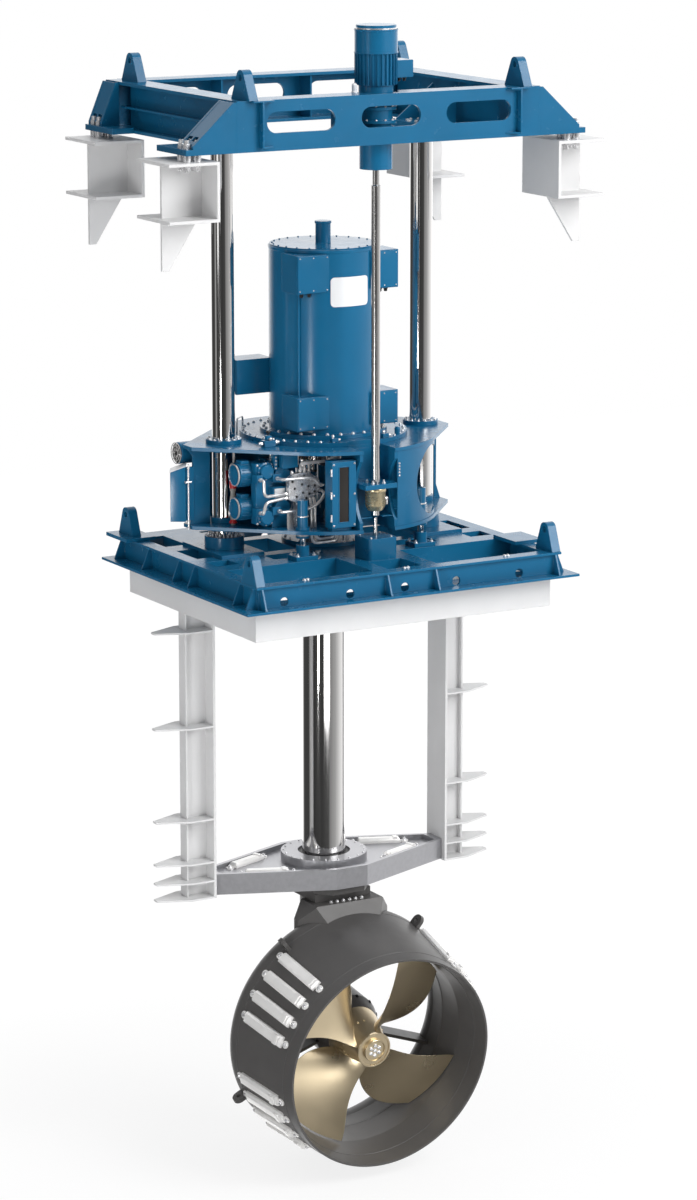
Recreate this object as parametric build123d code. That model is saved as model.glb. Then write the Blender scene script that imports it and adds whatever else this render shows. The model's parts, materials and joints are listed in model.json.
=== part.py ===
from build123d import *
import os
from math import acos, atan2, cos, degrees, hypot, pi, radians, sin, sqrt, tan

os.makedirs("parts", exist_ok=True)

# Retractable azimuth thruster with its hoisting frame. Millimetres, +Z up.
# The origin is on the stem axis, in the seat where the base frame stands on the hull.
# +X runs along the front beam and -Y is the side of the lifting spindle.

# Clearances
RUN_GAP = 0.3        # between curved faces of bodies that turn or slide on each other
SEAT_GAP = 0.2       # round a fixed piece in its seat

# Plates
PLATE = 20.0
WEB = 15.0

# Base frame and coaming
BASE_BOTTOM_X = 1572.0
BASE_BOTTOM_FRONT = -1553.0
BASE_BOTTOM_REAR = 1048.0
BASE_TOP_X = 1443.0
BASE_TOP_FRONT = -1470.0
BASE_TOP_REAR = 980.0
DECK = 205.0
RIM_FLANGE = 122.0
REAR_FLANGE = 198.0
RIM_OVERHANG = 30.0
RIM_GUSSET_LEAN = 66.0
FRONT_GUSSETS = (-1390.0, -228.0, 228.0, 1390.0)
SIDE_GUSSETS = (-1400.0, -1180.0, -398.0, -124.0, 423.0, 930.0)
MOUSE_HOLES = (-1177.0, -567.0, -53.0, 437.0, 1048.0)
MOUSE_HOLE_R = 38.0
FOUNDATION_X = 1486.0
FOUNDATION_Y = 800.0
FOUNDATION_HOLE_R = 18.0
HATCH_X = 1250.0
HATCH_FRONT = -1220.0
HATCH_REAR = 715.0
COAMING_X = 1400.0
COAMING_FRONT = -1369.0
COAMING_REAR = 863.0
COAMING_HEIGHT = 266.0
COAMING_WALL = 25.0

# Inner grillage of the base
SPAR_FRONT = -740.0
SPAR_REAR = -560.0
RUNNER_IN = 780.0
RUNNER_OUT = 1120.0
LINK_STRIPS = ((-372.0, -218.0), (156.0, 352.0))
TONGUE_IN = 155.0
TONGUE_OUT = 305.0
PLATFORM_FRONT = -1014.0
CENTRE_X = 400.0
CENTRE_Y = 372.0
SLAB = 30.0
SOCKET_SLAB_X = (760.0, 1160.0)
SOCKET_SLAB_Y = 350.0
CORNER_SLAB_X = (1256.0, 1530.0)
CORNER_SLAB_FRONT = (-1047.0, -700.0)
CORNER_SLAB_REAR = (660.0, 1040.0)
BASE_LUG_X = 1400.0
BASE_LUG_Y = (-1330.0, 850.0)

# Columns and stem
COLUMN_X = 950.0
COLUMN_R = 97.0
SOCKET_R = 166.0
SOCKET_HEIGHT = 100.0
STEM_R = 186.0
STEM_BORE_R = 150.0
SEAL_R = 285.0
SEAL_FLANGE_R = 355.0

# Upper frame
UPPER_BOTTOM = 3636.0
UPPER_DEPTH = 406.0
UPPER_TOP = UPPER_BOTTOM + UPPER_DEPTH
UPPER_FRONT = -1117.0
UPPER_REAR = 1177.0
UPPER_X = 1410.0
UPPER_FLANGE = 237.0
UPPER_PLATE = 26.0
HOIST_NOTCH_R = 190.0
SLOT_Z = UPPER_BOTTOM + 225.0
SLOT_HEIGHT = 168.0
SLOTS = ((-827.0, 622.0), (0.0, 552.0), (825.0, 617.0))
FOOT_PLATE = 46.0
FRONT_FOOT_X = 1860.0
REAR_FOOT_X = 1606.0
FOOT_DEPTH = 503.0
HAUNCH_TOP_X = 1440.0
HAUNCH_WEB = 30.0
UPPER_LUG_X = 1275.0
UPPER_LUG_Y = (-1000.0, 925.0)

# Lifting lugs
LUG_WIDTH = 300.0
LUG_HEIGHT = 235.0
LUG_THICK = 80.0
LUG_TOP_R = 62.0
LUG_HOLE_R = 26.0

# Hull brackets
CHOCK_HEIGHT = 54.0
BRACKET_TOP = UPPER_BOTTOM - CHOCK_HEIGHT
BRACKET_LENGTH = 450.0
BRACKET_WIDTH = 560.0
BRACKET_DEPTH = 475.0
BRACKET_GUSSET = 400.0
BRACKET_PLATE = 25.0

# Trunk guide rails and the diamond guide plate
RAIL_FACE_X = 1125.0
RAIL_WIDTH = 300.0
RAIL_FACE = 22.0
RAIL_DEPTH = 232.0
RAIL_FLANGE = 115.0
KNEE_NOSE_X = 1630.0
KNEE_DROPS = (0.156, 0.455, 0.747, 0.883, 0.943, 0.995)
GUIDE_HEIGHT = 180.0
GUIDE_WAIST_Y = 490.0
GUIDE_WAIST_X = 150.0
GUIDE_END_Y = 100.0
GUIDE_RING_R = 371.0
GUIDE_RING_TOP = -2522.0
GUIDE_BUSH_R = 225.0

# Carriage
TRAVEL = 2200.0
CARRIAGE_TOP = 1115.0
CARRIAGE_BOTTOM = 424.0
CARRIAGE_PLATE = 30.0
CARRIAGE_R = 950.0
NOSE_LEFT_X = 1290.0
NOSE_LEFT_Y = 75.0
NOSE_RIGHT_X = 1150.0
NOSE_RIGHT_Y = 130.0
NOTCH_X = 150.0
NOTCH_REAR = -650.0
FRONT_WEB = 30.0
FRONT_WEB_Y = -925.0
FRONT_WEB_DISH = 95.0
SHELL_R = 942.0
SHELL_SPAN = (-79.5, -38.0)
SCALLOP_R = 290.0
SCALLOP_ANGLE = -46.0
BUSH_FLANGE_R = 150.0
BUSH_SLEEVE_R = 115.0
BUSH_FLANGE = 35.0

# Main motor
MOTOR_DISC_R = 705.0
MOTOR_DISC = 35.0
MOTOR_R = 455.0
MOTOR_WALL = 18.0
MOTOR_FOOT_R = 535.0
MOTOR_FOOT = 30.0
MOTOR_TOP = 2711.0
CABLE_PIPE_R = 64.5
CABLE_PIPE_HEIGHT = 192.0
STATOR_LENGTH = 1020.0
STATOR_R = 300.0
ROTOR_R = 290.0
DRIVE_SHAFT_R = 60.0

# Steering gear
MODULE = 10.0
RING_TEETH = 72
PINION_TEETH = 15
PRESSURE_ANGLE = 20.0
TOOTH_BACKLASH = 1.2
GEAR_TOP = 1030.0
GEAR_FACE = 90.0
STEER_MOTOR_R = 125.0
STEER_MOTOR_AXES = (-110.0, 70.0)

# Hoist
SPINDLE_Y = -870.0
SPINDLE_R = 37.0
SPINDLE_NECK_R = 28.0
SPINDLE_TAIL_R = 17.0
HOIST_GEAR_R = 134.5
HOIST_GEAR_BOTTOM = UPPER_BOTTOM - 219.0
HOIST_MOTOR_R = 172.0
HOIST_MOTOR_BASE = UPPER_TOP - 16.0
HOIST_FOOT_HEIGHT = 68.0
HOIST_FIN_HEIGHT = 261.0
HOIST_BRAKE_HEIGHT = 181.0
HOIST_FINS = 28
FOOT_BLOCK_X = 270.0
FOOT_BLOCK_HEIGHT = 180.0
NUT_R = 66.0
NUT_FLANGE_R = 88.0
NUT_TOP = 790.0
NUT_HEIGHT = 190.0
BRIDGE_THICK = 40.0

# Lock cylinders
LOCK_X = 565.0
LOCK_Y = 650.0
LOCK_R = 45.0
LOCK_ROD_R = 25.0
LOCK_BOTTOM = 385.0
LOCK_STROKE = 90.0

# Lower unit: the shaft line leans down towards the outlet of the nozzle
SHAFT_Z = -3960.0
SHAFT_TILT = 8.0
PROPELLER_R = 875.0
TIP_GAP = 13.0
THROAT_R = PROPELLER_R + TIP_GAP
NOZZLE_LIP_R = THROAT_R + 90.0
NOZZLE_R = THROAT_R + 164.0
NOZZLE_OUTLET_R = NOZZLE_R - 96.0
NOZZLE_INLET = 145.0
NOZZLE_SHOULDER = 300.0
NOZZLE_OUTLET = 1157.0
NOZZLE_EDGE = 18.0
PROPELLER_S = 740.0
PROPELLER_PITCH = 1512.0
BLADES = 4
BLADE_TURN = -34.0
HUB_FRONT_R = 247.0
HUB_REAR_R = 140.0
HUB_REAR = 848.0
HUB_CAP_R = 155.0
HUB_BOSS_R = 100.0
HUB_CAP_END = 884.0
POD_R = 300.0
POD_NOSE = -552.0
POD_SHOULDER = -150.0
POD_REAR = 390.0
SEAL_COVER_R = 249.0
SEAL_COVER_END = 519.4
HUB_GAP = 0.6
PROP_SHAFT_R = 70.0
CROWN_R = 220.0
BEVEL_TEETH = (13, 38)
BEVEL_FACE = 60.0
BEVEL_BACKLASH = 2.4
GEAR_ROOM = 200.0
STAY_ANGLES = (-20.0, 90.0, 200.0)
STAY_THICK = 28.0
ANODE_GROUPS = (-32.0, 32.0, 148.0, 212.0)
ANODE_STEP = 10.8
NOZZLE_LUGS = ((-30.0, 280.0), (53.0, 354.0), (127.0, 354.0), (210.0, 280.0))
NOZZLE_LUG_HEIGHT = 100.0
NOZZLE_LUG_THICK = 35.0

# Foot of the stem and saddle on the crown of the nozzle
STEM_FOOT_PLATE = 60.0
STEM_FOOT_BLOCK = 72.0
STEM_FOOT_X = 270.0
STEM_FOOT_FRONT = -430.0
STEM_FOOT_REAR = 290.0
SADDLE_RISE = 82.0
SADDLE_TOP_X = 320.0
SADDLE_X = 440.0
SADDLE_FRONT = -445.0
NOZZLE_CROWN = NOZZLE_R * cos(radians(SHAFT_TILT)) - NOZZLE_SHOULDER * sin(radians(SHAFT_TILT))
STRUT_TOP = SHAFT_Z + NOZZLE_CROWN + SADDLE_RISE
STEM_BOTTOM = STRUT_TOP + STEM_FOOT_BLOCK + STEM_FOOT_PLATE
GUIDE_TOP = STEM_BOTTOM + GUIDE_HEIGHT + 6.0
RAIL_BOTTOM = STEM_BOTTOM - 4.0


# Shapes in common use

def block(x0, x1, y0, y1, z0, z1):
    size = (abs(x1 - x0), abs(y1 - y0), abs(z1 - z0))
    return Pos((x0 + x1) / 2, (y0 + y1) / 2, (z0 + z1) / 2) * Box(*size)


def disc(r, z0, z1, x=0.0, y=0.0):
    return Pos(x, y, (z0 + z1) / 2) * Cylinder(r, z1 - z0)


def ring(r_out, r_in, z0, z1, x=0.0, y=0.0):
    return disc(r_out, z0, z1, x, y) - disc(r_in, z0 - 1, z1 + 1, x, y)


def hex_nut(r, z0, z1, x, y):
    return extrude(Pos(x, y, z0) * RegularPolygon(r, 6), amount=z1 - z0)


def face_of(points):
    return make_face(Polyline(*points, close=True))


def prism_xy(points, z0, z1):
    return extrude(Pos(0, 0, z0) * face_of(points), amount=z1 - z0)


def prism_xz(points, y0, y1):
    """Extrudes an outline of (x, z) points from y0 to y1."""
    face = face_of([(x, 0, z) for x, z in points])
    return extrude(Pos(0, y0, 0) * face, amount=y1 - y0, dir=(0, 1, 0))


def prism_yz(points, x0, x1):
    """Extrudes an outline of (y, z) points from x0 to x1."""
    face = face_of([(0, y, z) for y, z in points])
    return extrude(Pos(x0, 0, 0) * face, amount=x1 - x0, dir=(1, 0, 0))


def turned(points):
    """Revolves an outline of (radius, z) points about Z."""
    return revolve(face_of([(r, 0, z) for r, z in points]), Axis.Z, 360)


def flip_x(shape):
    return mirror(shape, about=Plane.YZ)


def fuse(pieces):
    total = pieces[0]
    for piece in pieces[1:]:
        total = total + piece
    return total


def group(pieces):
    return Compound([solid for piece in pieces for solid in piece.solids()])


def polar(r, angle):
    return r * cos(radians(angle)), r * sin(radians(angle))


nodes = {}


# Trunk coaming and base frame

def window(x_half, front, rear, z0, z1, wall):
    outer = block(-x_half, x_half, front, rear, z0, z1)
    return outer - block(-x_half + wall, x_half - wall, front + wall, rear - wall, z0 - 1, z1 + 1)


def trunk_coaming():
    return window(COAMING_X, COAMING_FRONT, COAMING_REAR, -COAMING_HEIGHT, 0, COAMING_WALL)


def base_bottom_flange():
    plate = block(-BASE_BOTTOM_X, BASE_BOTTOM_X, BASE_BOTTOM_FRONT, BASE_BOTTOM_REAR, 0, PLATE)
    plate -= block(-HATCH_X, HATCH_X, HATCH_FRONT, HATCH_REAR, -1, PLATE + 1)
    for x in (-FOUNDATION_X, FOUNDATION_X):
        for y in (-FOUNDATION_Y, FOUNDATION_Y):
            plate -= disc(FOUNDATION_HOLE_R, -1, PLATE + 1, x, y)
    return plate


def gusset_profile(edge, outward):
    """Outline of a rim gusset: across the beam and up, leaning out to the bottom flange."""
    inner = edge - outward * RIM_OVERHANG
    foot = edge + outward * RIM_GUSSET_LEAN
    return [(inner, PLATE), (foot, PLATE), (edge, DECK - PLATE), (inner, DECK - PLATE)]


def cross_beam(edge, outward, flange, gussets, holes):
    """Front or rear beam of the base: web, top flange and gussets outside the web."""
    web_out = edge - outward * RIM_OVERHANG
    web_in = web_out - outward * WEB
    half = BASE_TOP_X - RIM_OVERHANG
    web = block(-half, half, web_in, web_out, PLATE, DECK - PLATE)
    for x in holes:
        cutter = Pos(x, web_out, PLATE + MOUSE_HOLE_R + 2) * Rot(90, 0, 0)
        web -= cutter * Cylinder(MOUSE_HOLE_R, 4 * WEB)
    top = block(-BASE_TOP_X, BASE_TOP_X, edge, edge - outward * flange, DECK - PLATE, DECK)
    ribs = [prism_yz(gusset_profile(edge, outward), x - WEB / 2, x + WEB / 2) for x in gussets]
    return fuse([web, top] + ribs)


def side_beam(side):
    """Left (side -1) or right (side +1) beam of the base, between the front and rear beams."""
    edge = side * BASE_TOP_X
    web_out = edge - side * RIM_OVERHANG
    web_in = web_out - side * WEB
    front = BASE_TOP_FRONT + RIM_OVERHANG + WEB
    rear = BASE_TOP_REAR - RIM_OVERHANG - WEB
    web = block(web_in, web_out, front, rear, PLATE, DECK - PLATE)
    top = block(edge, edge - side * RIM_FLANGE, BASE_TOP_FRONT + RIM_FLANGE,
                BASE_TOP_REAR - REAR_FLANGE, DECK - PLATE, DECK)
    ribs = [prism_xz(gusset_profile(edge, side), y - WEB / 2, y + WEB / 2) for y in SIDE_GUSSETS]
    return fuse([web, top] + ribs)


def strip(x0, x1, y0, y1, along, ends=(0.0, 0.0)):
    """A box spar: top plate with a web under each long edge, longer than the plate by ends."""
    top = block(x0, x1, y0, y1, DECK - PLATE, DECK)
    webs = []
    if along == "x":
        for y in (y0, y1 - WEB):
            webs.append(block(x0 - ends[0], x1 + ends[1], y, y + WEB, PLATE, DECK - PLATE))
    else:
        for x in (x0, x1 - WEB):
            webs.append(block(x, x + WEB, y0 - ends[0], y1 + ends[1], PLATE, DECK - PLATE))
    return fuse([top] + webs)


def base_inner_grillage():
    rim_x = BASE_TOP_X - RIM_FLANGE
    reach = RIM_FLANGE - RIM_OVERHANG - WEB
    front_rim = BASE_TOP_FRONT + RIM_FLANGE
    rear_rim = BASE_TOP_REAR - REAR_FLANGE
    spar = strip(-rim_x, rim_x, SPAR_FRONT, SPAR_REAR, "x", (reach, reach))
    centre = block(-CENTRE_X, CENTRE_X, -CENTRE_Y, CENTRE_Y, DECK - PLATE, DECK)
    centre += window(CENTRE_X, -CENTRE_Y, CENTRE_Y, PLATE, DECK - PLATE, WEB)
    centre -= disc(SEAL_R + SEAT_GAP, 0, DECK + 1)
    pieces = [spar, centre]
    for side in (-1, 1):
        low, high = sorted((side * RUNNER_IN, side * RUNNER_OUT))
        pieces.append(strip(low, high, SPAR_REAR, rear_rim, "y"))
        for y0, y1 in LINK_STRIPS:
            low, high = sorted((side * RUNNER_OUT, side * rim_x))
            extra = (reach, 0.0) if side < 0 else (0.0, reach)
            pieces.append(strip(low, high, y0, y1, "x", extra))
        for y0, y1 in ((-CENTRE_Y, -250.0), (250.0, CENTRE_Y)):
            low, high = sorted((side * CENTRE_X, side * RUNNER_IN))
            pieces.append(strip(low, high, y0, y1, "x"))
        low, high = sorted((side * TONGUE_IN, side * TONGUE_OUT))
        pieces.append(strip(low, high, front_rim, SPAR_FRONT, "y", (reach, 0.0)))
        low, high = sorted((side * (LOCK_X - 105), side * RUNNER_IN))
        pieces.append(strip(low, high, LOCK_Y - 80, LOCK_Y + 80, "x"))
    pieces.append(strip(-TONGUE_OUT, TONGUE_OUT, PLATFORM_FRONT, SPAR_FRONT, "x"))
    pieces.append(strip(-CENTRE_X, CENTRE_X, SPAR_REAR, -CENTRE_Y, "y"))
    return fuse(pieces)


def base_slabs():
    pieces = []
    for side in (-1, 1):
        x0, x1 = sorted(side * x for x in SOCKET_SLAB_X)
        pieces.append(block(x0, x1, -SOCKET_SLAB_Y, SOCKET_SLAB_Y, DECK, DECK + SLAB))
    pieces.append(block(CORNER_SLAB_X[0], CORNER_SLAB_X[1], CORNER_SLAB_FRONT[0],
                        CORNER_SLAB_FRONT[1], DECK, DECK + SLAB))
    pieces.append(block(-CORNER_SLAB_X[1], -CORNER_SLAB_X[0], CORNER_SLAB_REAR[0],
                        CORNER_SLAB_REAR[1], DECK, DECK + SLAB))
    return group(pieces)


def lug(x, y, z, width=LUG_WIDTH):
    """Lifting lug: a tapered plate with a round top, standing in the Y-Z plane."""
    centre = LUG_HEIGHT - LUG_TOP_R
    half = width / 2
    lean = atan2(half - LUG_TOP_R, centre)
    touch_y = LUG_TOP_R * cos(lean)
    touch_z = centre + LUG_TOP_R * sin(lean)
    sides = Polyline((0, touch_y, touch_z), (0, half, 0), (0, -half, 0), (0, -touch_y, touch_z))
    crown = ThreePointArc((0, -touch_y, touch_z), (0, 0, LUG_HEIGHT), (0, touch_y, touch_z))
    plate = extrude(make_face(sides + crown), amount=LUG_THICK, dir=(1, 0, 0))
    hole = Pos(LUG_THICK / 2, 0, centre) * Rot(0, 90, 0) * Cylinder(LUG_HOLE_R, 2 * LUG_THICK)
    return Pos(x - LUG_THICK / 2, y, z) * (plate - hole)


def lifting_lugs():
    """Four lugs on the base, one of them on a corner slab, and four on the upper frame."""
    pieces = []
    for side in (-1, 1):
        for y in BASE_LUG_Y:
            on_slab = side < 0 and y > 0
            pieces.append(lug(side * BASE_LUG_X, y, DECK + SLAB if on_slab else DECK, 260))
        for y in UPPER_LUG_Y:
            pieces.append(lug(side * UPPER_LUG_X, y, UPPER_TOP))
    return group(pieces)


def column_sockets():
    foot = DECK + SLAB
    top = foot + SOCKET_HEIGHT
    return group([ring(SOCKET_R, COLUMN_R + SEAT_GAP, foot, top, side * COLUMN_X)
                  for side in (-1, 1)])


def stem_seal_housing():
    outline = [(STEM_R + RUN_GAP, PLATE), (SEAL_R, PLATE), (SEAL_R, DECK), (SEAL_FLANGE_R, DECK),
               (SEAL_FLANGE_R, DECK + SLAB), (STEM_R + RUN_GAP, DECK + SLAB)]
    return turned(outline)


def landing_feet():
    """Seats on the base that the lock rods of the carriage stand in."""
    pieces = []
    for sx in (-1, 1):
        for sy in (-1, 1):
            x, y = sx * LOCK_X, sy * LOCK_Y
            base = block(x - 100, x + 100, y - 78, y + 78, DECK, DECK + 35)
            cup = ring(LOCK_ROD_R + 30, LOCK_ROD_R + RUN_GAP, DECK + 35, LOCK_BOTTOM - 60, x, y)
            pieces.append(base + cup)
    return group(pieces)


nodes["trunk_coaming"] = trunk_coaming()
nodes["base_bottom_flange"] = base_bottom_flange()
nodes["base_cross_beams"] = group([
    cross_beam(BASE_TOP_FRONT, -1, RIM_FLANGE, FRONT_GUSSETS, MOUSE_HOLES),
    cross_beam(BASE_TOP_REAR, 1, REAR_FLANGE, FRONT_GUSSETS, MOUSE_HOLES)])
nodes["base_side_beams"] = group([side_beam(-1), side_beam(1)])
nodes["base_inner_grillage"] = base_inner_grillage()
nodes["base_slabs"] = base_slabs()
nodes["lifting_lugs"] = lifting_lugs()
nodes["column_sockets"] = column_sockets()
nodes["stem_seal_housing"] = stem_seal_housing()
nodes["landing_feet"] = landing_feet()


# Guide columns and upper frame

def guide_column(side):
    return disc(COLUMN_R, DECK + SLAB, UPPER_BOTTOM, side * COLUMN_X)


def long_slot(length, height, depth):
    """A round-ended bar along X, to cut a slot through a web that stands in the X-Z plane."""
    core = Box(length - height, depth, height)
    for x in (-(length - height) / 2, (length - height) / 2):
        core += Pos(x, 0, 0) * Rot(90, 0, 0) * Cylinder(height / 2, depth)
    return core


def upper_cross_beam(edge, outward, slots):
    """Channel along X: the web is flush with the edge and both flanges run inward."""
    inner = edge - outward * UPPER_FLANGE
    web = block(-UPPER_X, UPPER_X, edge, edge - outward * UPPER_PLATE, UPPER_BOTTOM, UPPER_TOP)
    for x, length in slots:
        web -= Pos(x, edge, SLOT_Z) * long_slot(length, SLOT_HEIGHT, 4 * UPPER_PLATE)
    top = block(-UPPER_X, UPPER_X, edge, inner, UPPER_TOP - UPPER_PLATE, UPPER_TOP)
    bottom = block(-UPPER_X, UPPER_X, edge, inner, UPPER_BOTTOM, UPPER_BOTTOM + UPPER_PLATE)
    pieces = [web, top, bottom]
    for x in (-1160.0, -430.0, 430.0, 1160.0):
        pieces.append(block(x - WEB / 2, x + WEB / 2, edge, inner + outward * 20,
                            UPPER_BOTTOM, UPPER_TOP))
    return fuse(pieces)


def hoist_beam():
    """Front beam, its lower flange widened under the hoist gear and its top flange cut away."""
    beam = upper_cross_beam(UPPER_FRONT, -1, SLOTS)
    beam += block(-300, 300, UPPER_FRONT + UPPER_FLANGE, SPINDLE_Y + 230, UPPER_BOTTOM,
                  UPPER_BOTTOM + UPPER_PLATE)
    beam -= disc(HOIST_NOTCH_R, UPPER_TOP - UPPER_PLATE - 1, UPPER_TOP + 1, 0, SPINDLE_Y)
    return beam - disc(HOIST_GEAR_R + SEAT_GAP, UPPER_BOTTOM - 1, UPPER_BOTTOM + UPPER_PLATE + 1,
                       0, SPINDLE_Y)


def upper_side_beam(side):
    """Side channel of the upper frame, with the web set back and one level rib outside."""
    outer = side * UPPER_X
    inner = side * (UPPER_X - UPPER_FLANGE)
    web_out = side * (UPPER_X - 110)
    front = UPPER_FRONT + UPPER_FLANGE
    rear = UPPER_REAR - UPPER_FLANGE
    web = block(web_out, web_out - side * UPPER_PLATE, front, rear, UPPER_BOTTOM, UPPER_TOP)
    top = block(outer, inner, front, rear, UPPER_TOP - UPPER_PLATE, UPPER_TOP)
    bottom = block(outer, inner, front, rear, UPPER_BOTTOM, UPPER_BOTTOM + UPPER_PLATE)
    rib = block(outer - side * 20, web_out, front, rear, UPPER_BOTTOM + 190, UPPER_BOTTOM + 205)
    return fuse([web, top, bottom, rib])


def corner_foot(side, end):
    """Foot plate with two haunch webs and a sloping cover, past one end of a cross beam."""
    front = end < 0
    reach = FRONT_FOOT_X if front else REAR_FOOT_X
    edge = UPPER_FRONT if front else UPPER_REAR
    slope_end = reach - (60 if front else 30)
    inner = edge - end * FOOT_DEPTH
    plate = block(side * UPPER_X, side * reach, edge, inner, UPPER_BOTTOM, UPPER_BOTTOM + FOOT_PLATE)
    low = UPPER_BOTTOM + FOOT_PLATE
    haunch = [(side * UPPER_X, low), (side * slope_end, low), (side * slope_end, low + 24),
              (side * HAUNCH_TOP_X, UPPER_TOP - 8), (side * UPPER_X, UPPER_TOP - 8)]
    web_out = prism_xz(haunch, edge, edge - end * HAUNCH_WEB)
    mid = edge - end * 213
    web_in = prism_xz(haunch, mid, mid - end * HAUNCH_WEB)
    cover_line = [(side * (slope_end - 40), low + 24), (side * (slope_end - 3), low + 24),
                  (side * HAUNCH_TOP_X, UPPER_TOP - 10), (side * (HAUNCH_TOP_X - 30), UPPER_TOP - 10)]
    cover = prism_xz(cover_line, edge - end * HAUNCH_WEB, mid)
    bolts = foot_bolt_places(side, end)
    body = fuse([plate, web_out, web_in, cover])
    for x, y in bolts:
        body -= disc(21, UPPER_BOTTOM - 1, UPPER_BOTTOM + FOOT_PLATE + 1, x, y)
        body -= block(x - 34, x + 34, y - 34, y + 34, low, low + 90)
    return body


def foot_bolt_places(side, end):
    reach = FRONT_FOOT_X if end < 0 else REAR_FOOT_X
    edge = UPPER_FRONT if end < 0 else UPPER_REAR
    x_out = side * (reach - 45)
    x_in = side * (reach - 135)
    ys = (edge - end * 75, edge - end * 168)
    return [(x, y) for x in (x_out, x_in) for y in ys]


def foot_bolts():
    """Stud, nut and spacer chock between each foot plate and its hull bracket."""
    pieces = []
    for side in (-1, 1):
        for end in (-1, 1):
            for x, y in foot_bolt_places(side, end):
                stud = disc(20, BRACKET_TOP - 80, UPPER_BOTTOM + FOOT_PLATE + 70, x, y)
                chock = disc(33, BRACKET_TOP, UPPER_BOTTOM, x, y)
                seat = UPPER_BOTTOM + FOOT_PLATE
                nut = hex_nut(31, seat, seat + 40, x, y)
                under = BRACKET_TOP - BRACKET_PLATE
                low_nut = hex_nut(31, under - 36, under, x, y)
                pieces.append(fuse([stud, chock, nut, low_nut]))
    return group(pieces)


def hull_bracket(side, end):
    reach = FRONT_FOOT_X if end < 0 else REAR_FOOT_X
    edge = UPPER_FRONT if end < 0 else UPPER_REAR
    x_in = side * (reach - BRACKET_LENGTH + 170)
    x_out = x_in + side * BRACKET_LENGTH
    y_out = edge + end * 35
    y_in = y_out - end * BRACKET_WIDTH
    mid = (y_out + y_in) / 2
    low = BRACKET_TOP - BRACKET_DEPTH
    top = block(x_in, x_out, y_out, y_in, BRACKET_TOP - BRACKET_PLATE, BRACKET_TOP)
    bottom = block(x_in, x_out, y_out, y_in, low, low + BRACKET_PLATE)
    web_y = (mid - BRACKET_PLATE / 2, mid + BRACKET_PLATE / 2)
    web_out = x_out - side * 70
    web = block(x_in, web_out, web_y[0], web_y[1], low, BRACKET_TOP)
    back = block(x_in, x_in + side * BRACKET_PLATE, y_out, y_in, low, BRACKET_TOP)
    gusset = prism_xz([(x_in + side * 60, low), (web_out, low), (web_out, low - BRACKET_GUSSET),
                       (web_out - side * 60, low - BRACKET_GUSSET)], web_y[0], web_y[1])
    body = fuse([top, bottom, web, back, gusset])
    for x, y in foot_bolt_places(side, end):
        body -= disc(21, BRACKET_TOP - BRACKET_PLATE - 1, BRACKET_TOP + 1, x, y)
        body -= disc(34, BRACKET_TOP - BRACKET_PLATE - 70, BRACKET_TOP - BRACKET_PLATE, x, y)
    return body


def column_heads():
    """Head plates inside the side beams, which hold the tops of the guide columns."""
    inner = UPPER_X - UPPER_FLANGE
    pieces = []
    for side in (-1, 1):
        head = block(side * inner, side * (COLUMN_X - 170), -190, 190, UPPER_BOTTOM, UPPER_BOTTOM + 50)
        for y in (-190.0, 175.0):
            arm = [(side * inner, UPPER_BOTTOM + 50), (side * (COLUMN_X - 150), UPPER_BOTTOM + 50),
                   (side * inner, UPPER_TOP - 60)]
            head += prism_xz(arm, y, y + WEB)
        pieces.append(head)
    return pieces


nodes["guide_columns"] = group([guide_column(-1), guide_column(1)])
nodes["upper_cross_beams"] = group([hoist_beam(), upper_cross_beam(UPPER_REAR, 1, SLOTS)])
nodes["upper_side_beams"] = group([upper_side_beam(side) + head for side, head
                                   in zip((-1, 1), column_heads())])
nodes["corner_feet"] = group([corner_foot(side, end) for side in (-1, 1) for end in (-1, 1)])
nodes["foot_bolts"] = foot_bolts()
nodes["hull_brackets"] = group([hull_bracket(side, end) for side in (-1, 1) for end in (-1, 1)])


# Guide rails of the trunk

def guide_rail(side):
    face_x = RAIL_FACE_X
    half = RAIL_WIDTH / 2
    outer = face_x + RAIL_DEPTH
    section = [(face_x, -half), (face_x + RAIL_FACE, -half), (face_x + RAIL_FACE, -WEB / 2),
               (outer - WEB, -WEB / 2), (outer - WEB, -RAIL_FLANGE / 2), (outer, -RAIL_FLANGE / 2),
               (outer, RAIL_FLANGE / 2), (outer - WEB, RAIL_FLANGE / 2), (outer - WEB, WEB / 2),
               (face_x + RAIL_FACE, WEB / 2), (face_x + RAIL_FACE, half), (face_x, half)]
    rail = prism_xy(section, RAIL_BOTTOM, 0)
    knee = [(face_x, -half), (outer, -half), (KNEE_NOSE_X, -30), (KNEE_NOSE_X, 30),
            (outer, half), (face_x, half)]
    for drop in KNEE_DROPS:
        z = RAIL_BOTTOM * drop
        rail += prism_xy(knee, z - WEB, z)
    return rail if side > 0 else flip_x(rail)


nodes["guide_rails"] = group([guide_rail(-1), guide_rail(1)])


# Hoist on the front beam

def hoist_gear_housing():
    flange = UPPER_BOTTOM + UPPER_PLATE
    top = HOIST_MOTOR_BASE
    body = disc(HOIST_GEAR_R, HOIST_GEAR_BOTTOM, top - 16, 0, SPINDLE_Y)
    for z in (flange, top - 236, top - 126, top - 26):
        body += disc(HOIST_GEAR_R + 34, z, z + 26, 0, SPINDLE_Y)
    return body - disc(SPINDLE_NECK_R + RUN_GAP, HOIST_GEAR_BOTTOM - 1, flange + 64, 0, SPINDLE_Y)


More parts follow.
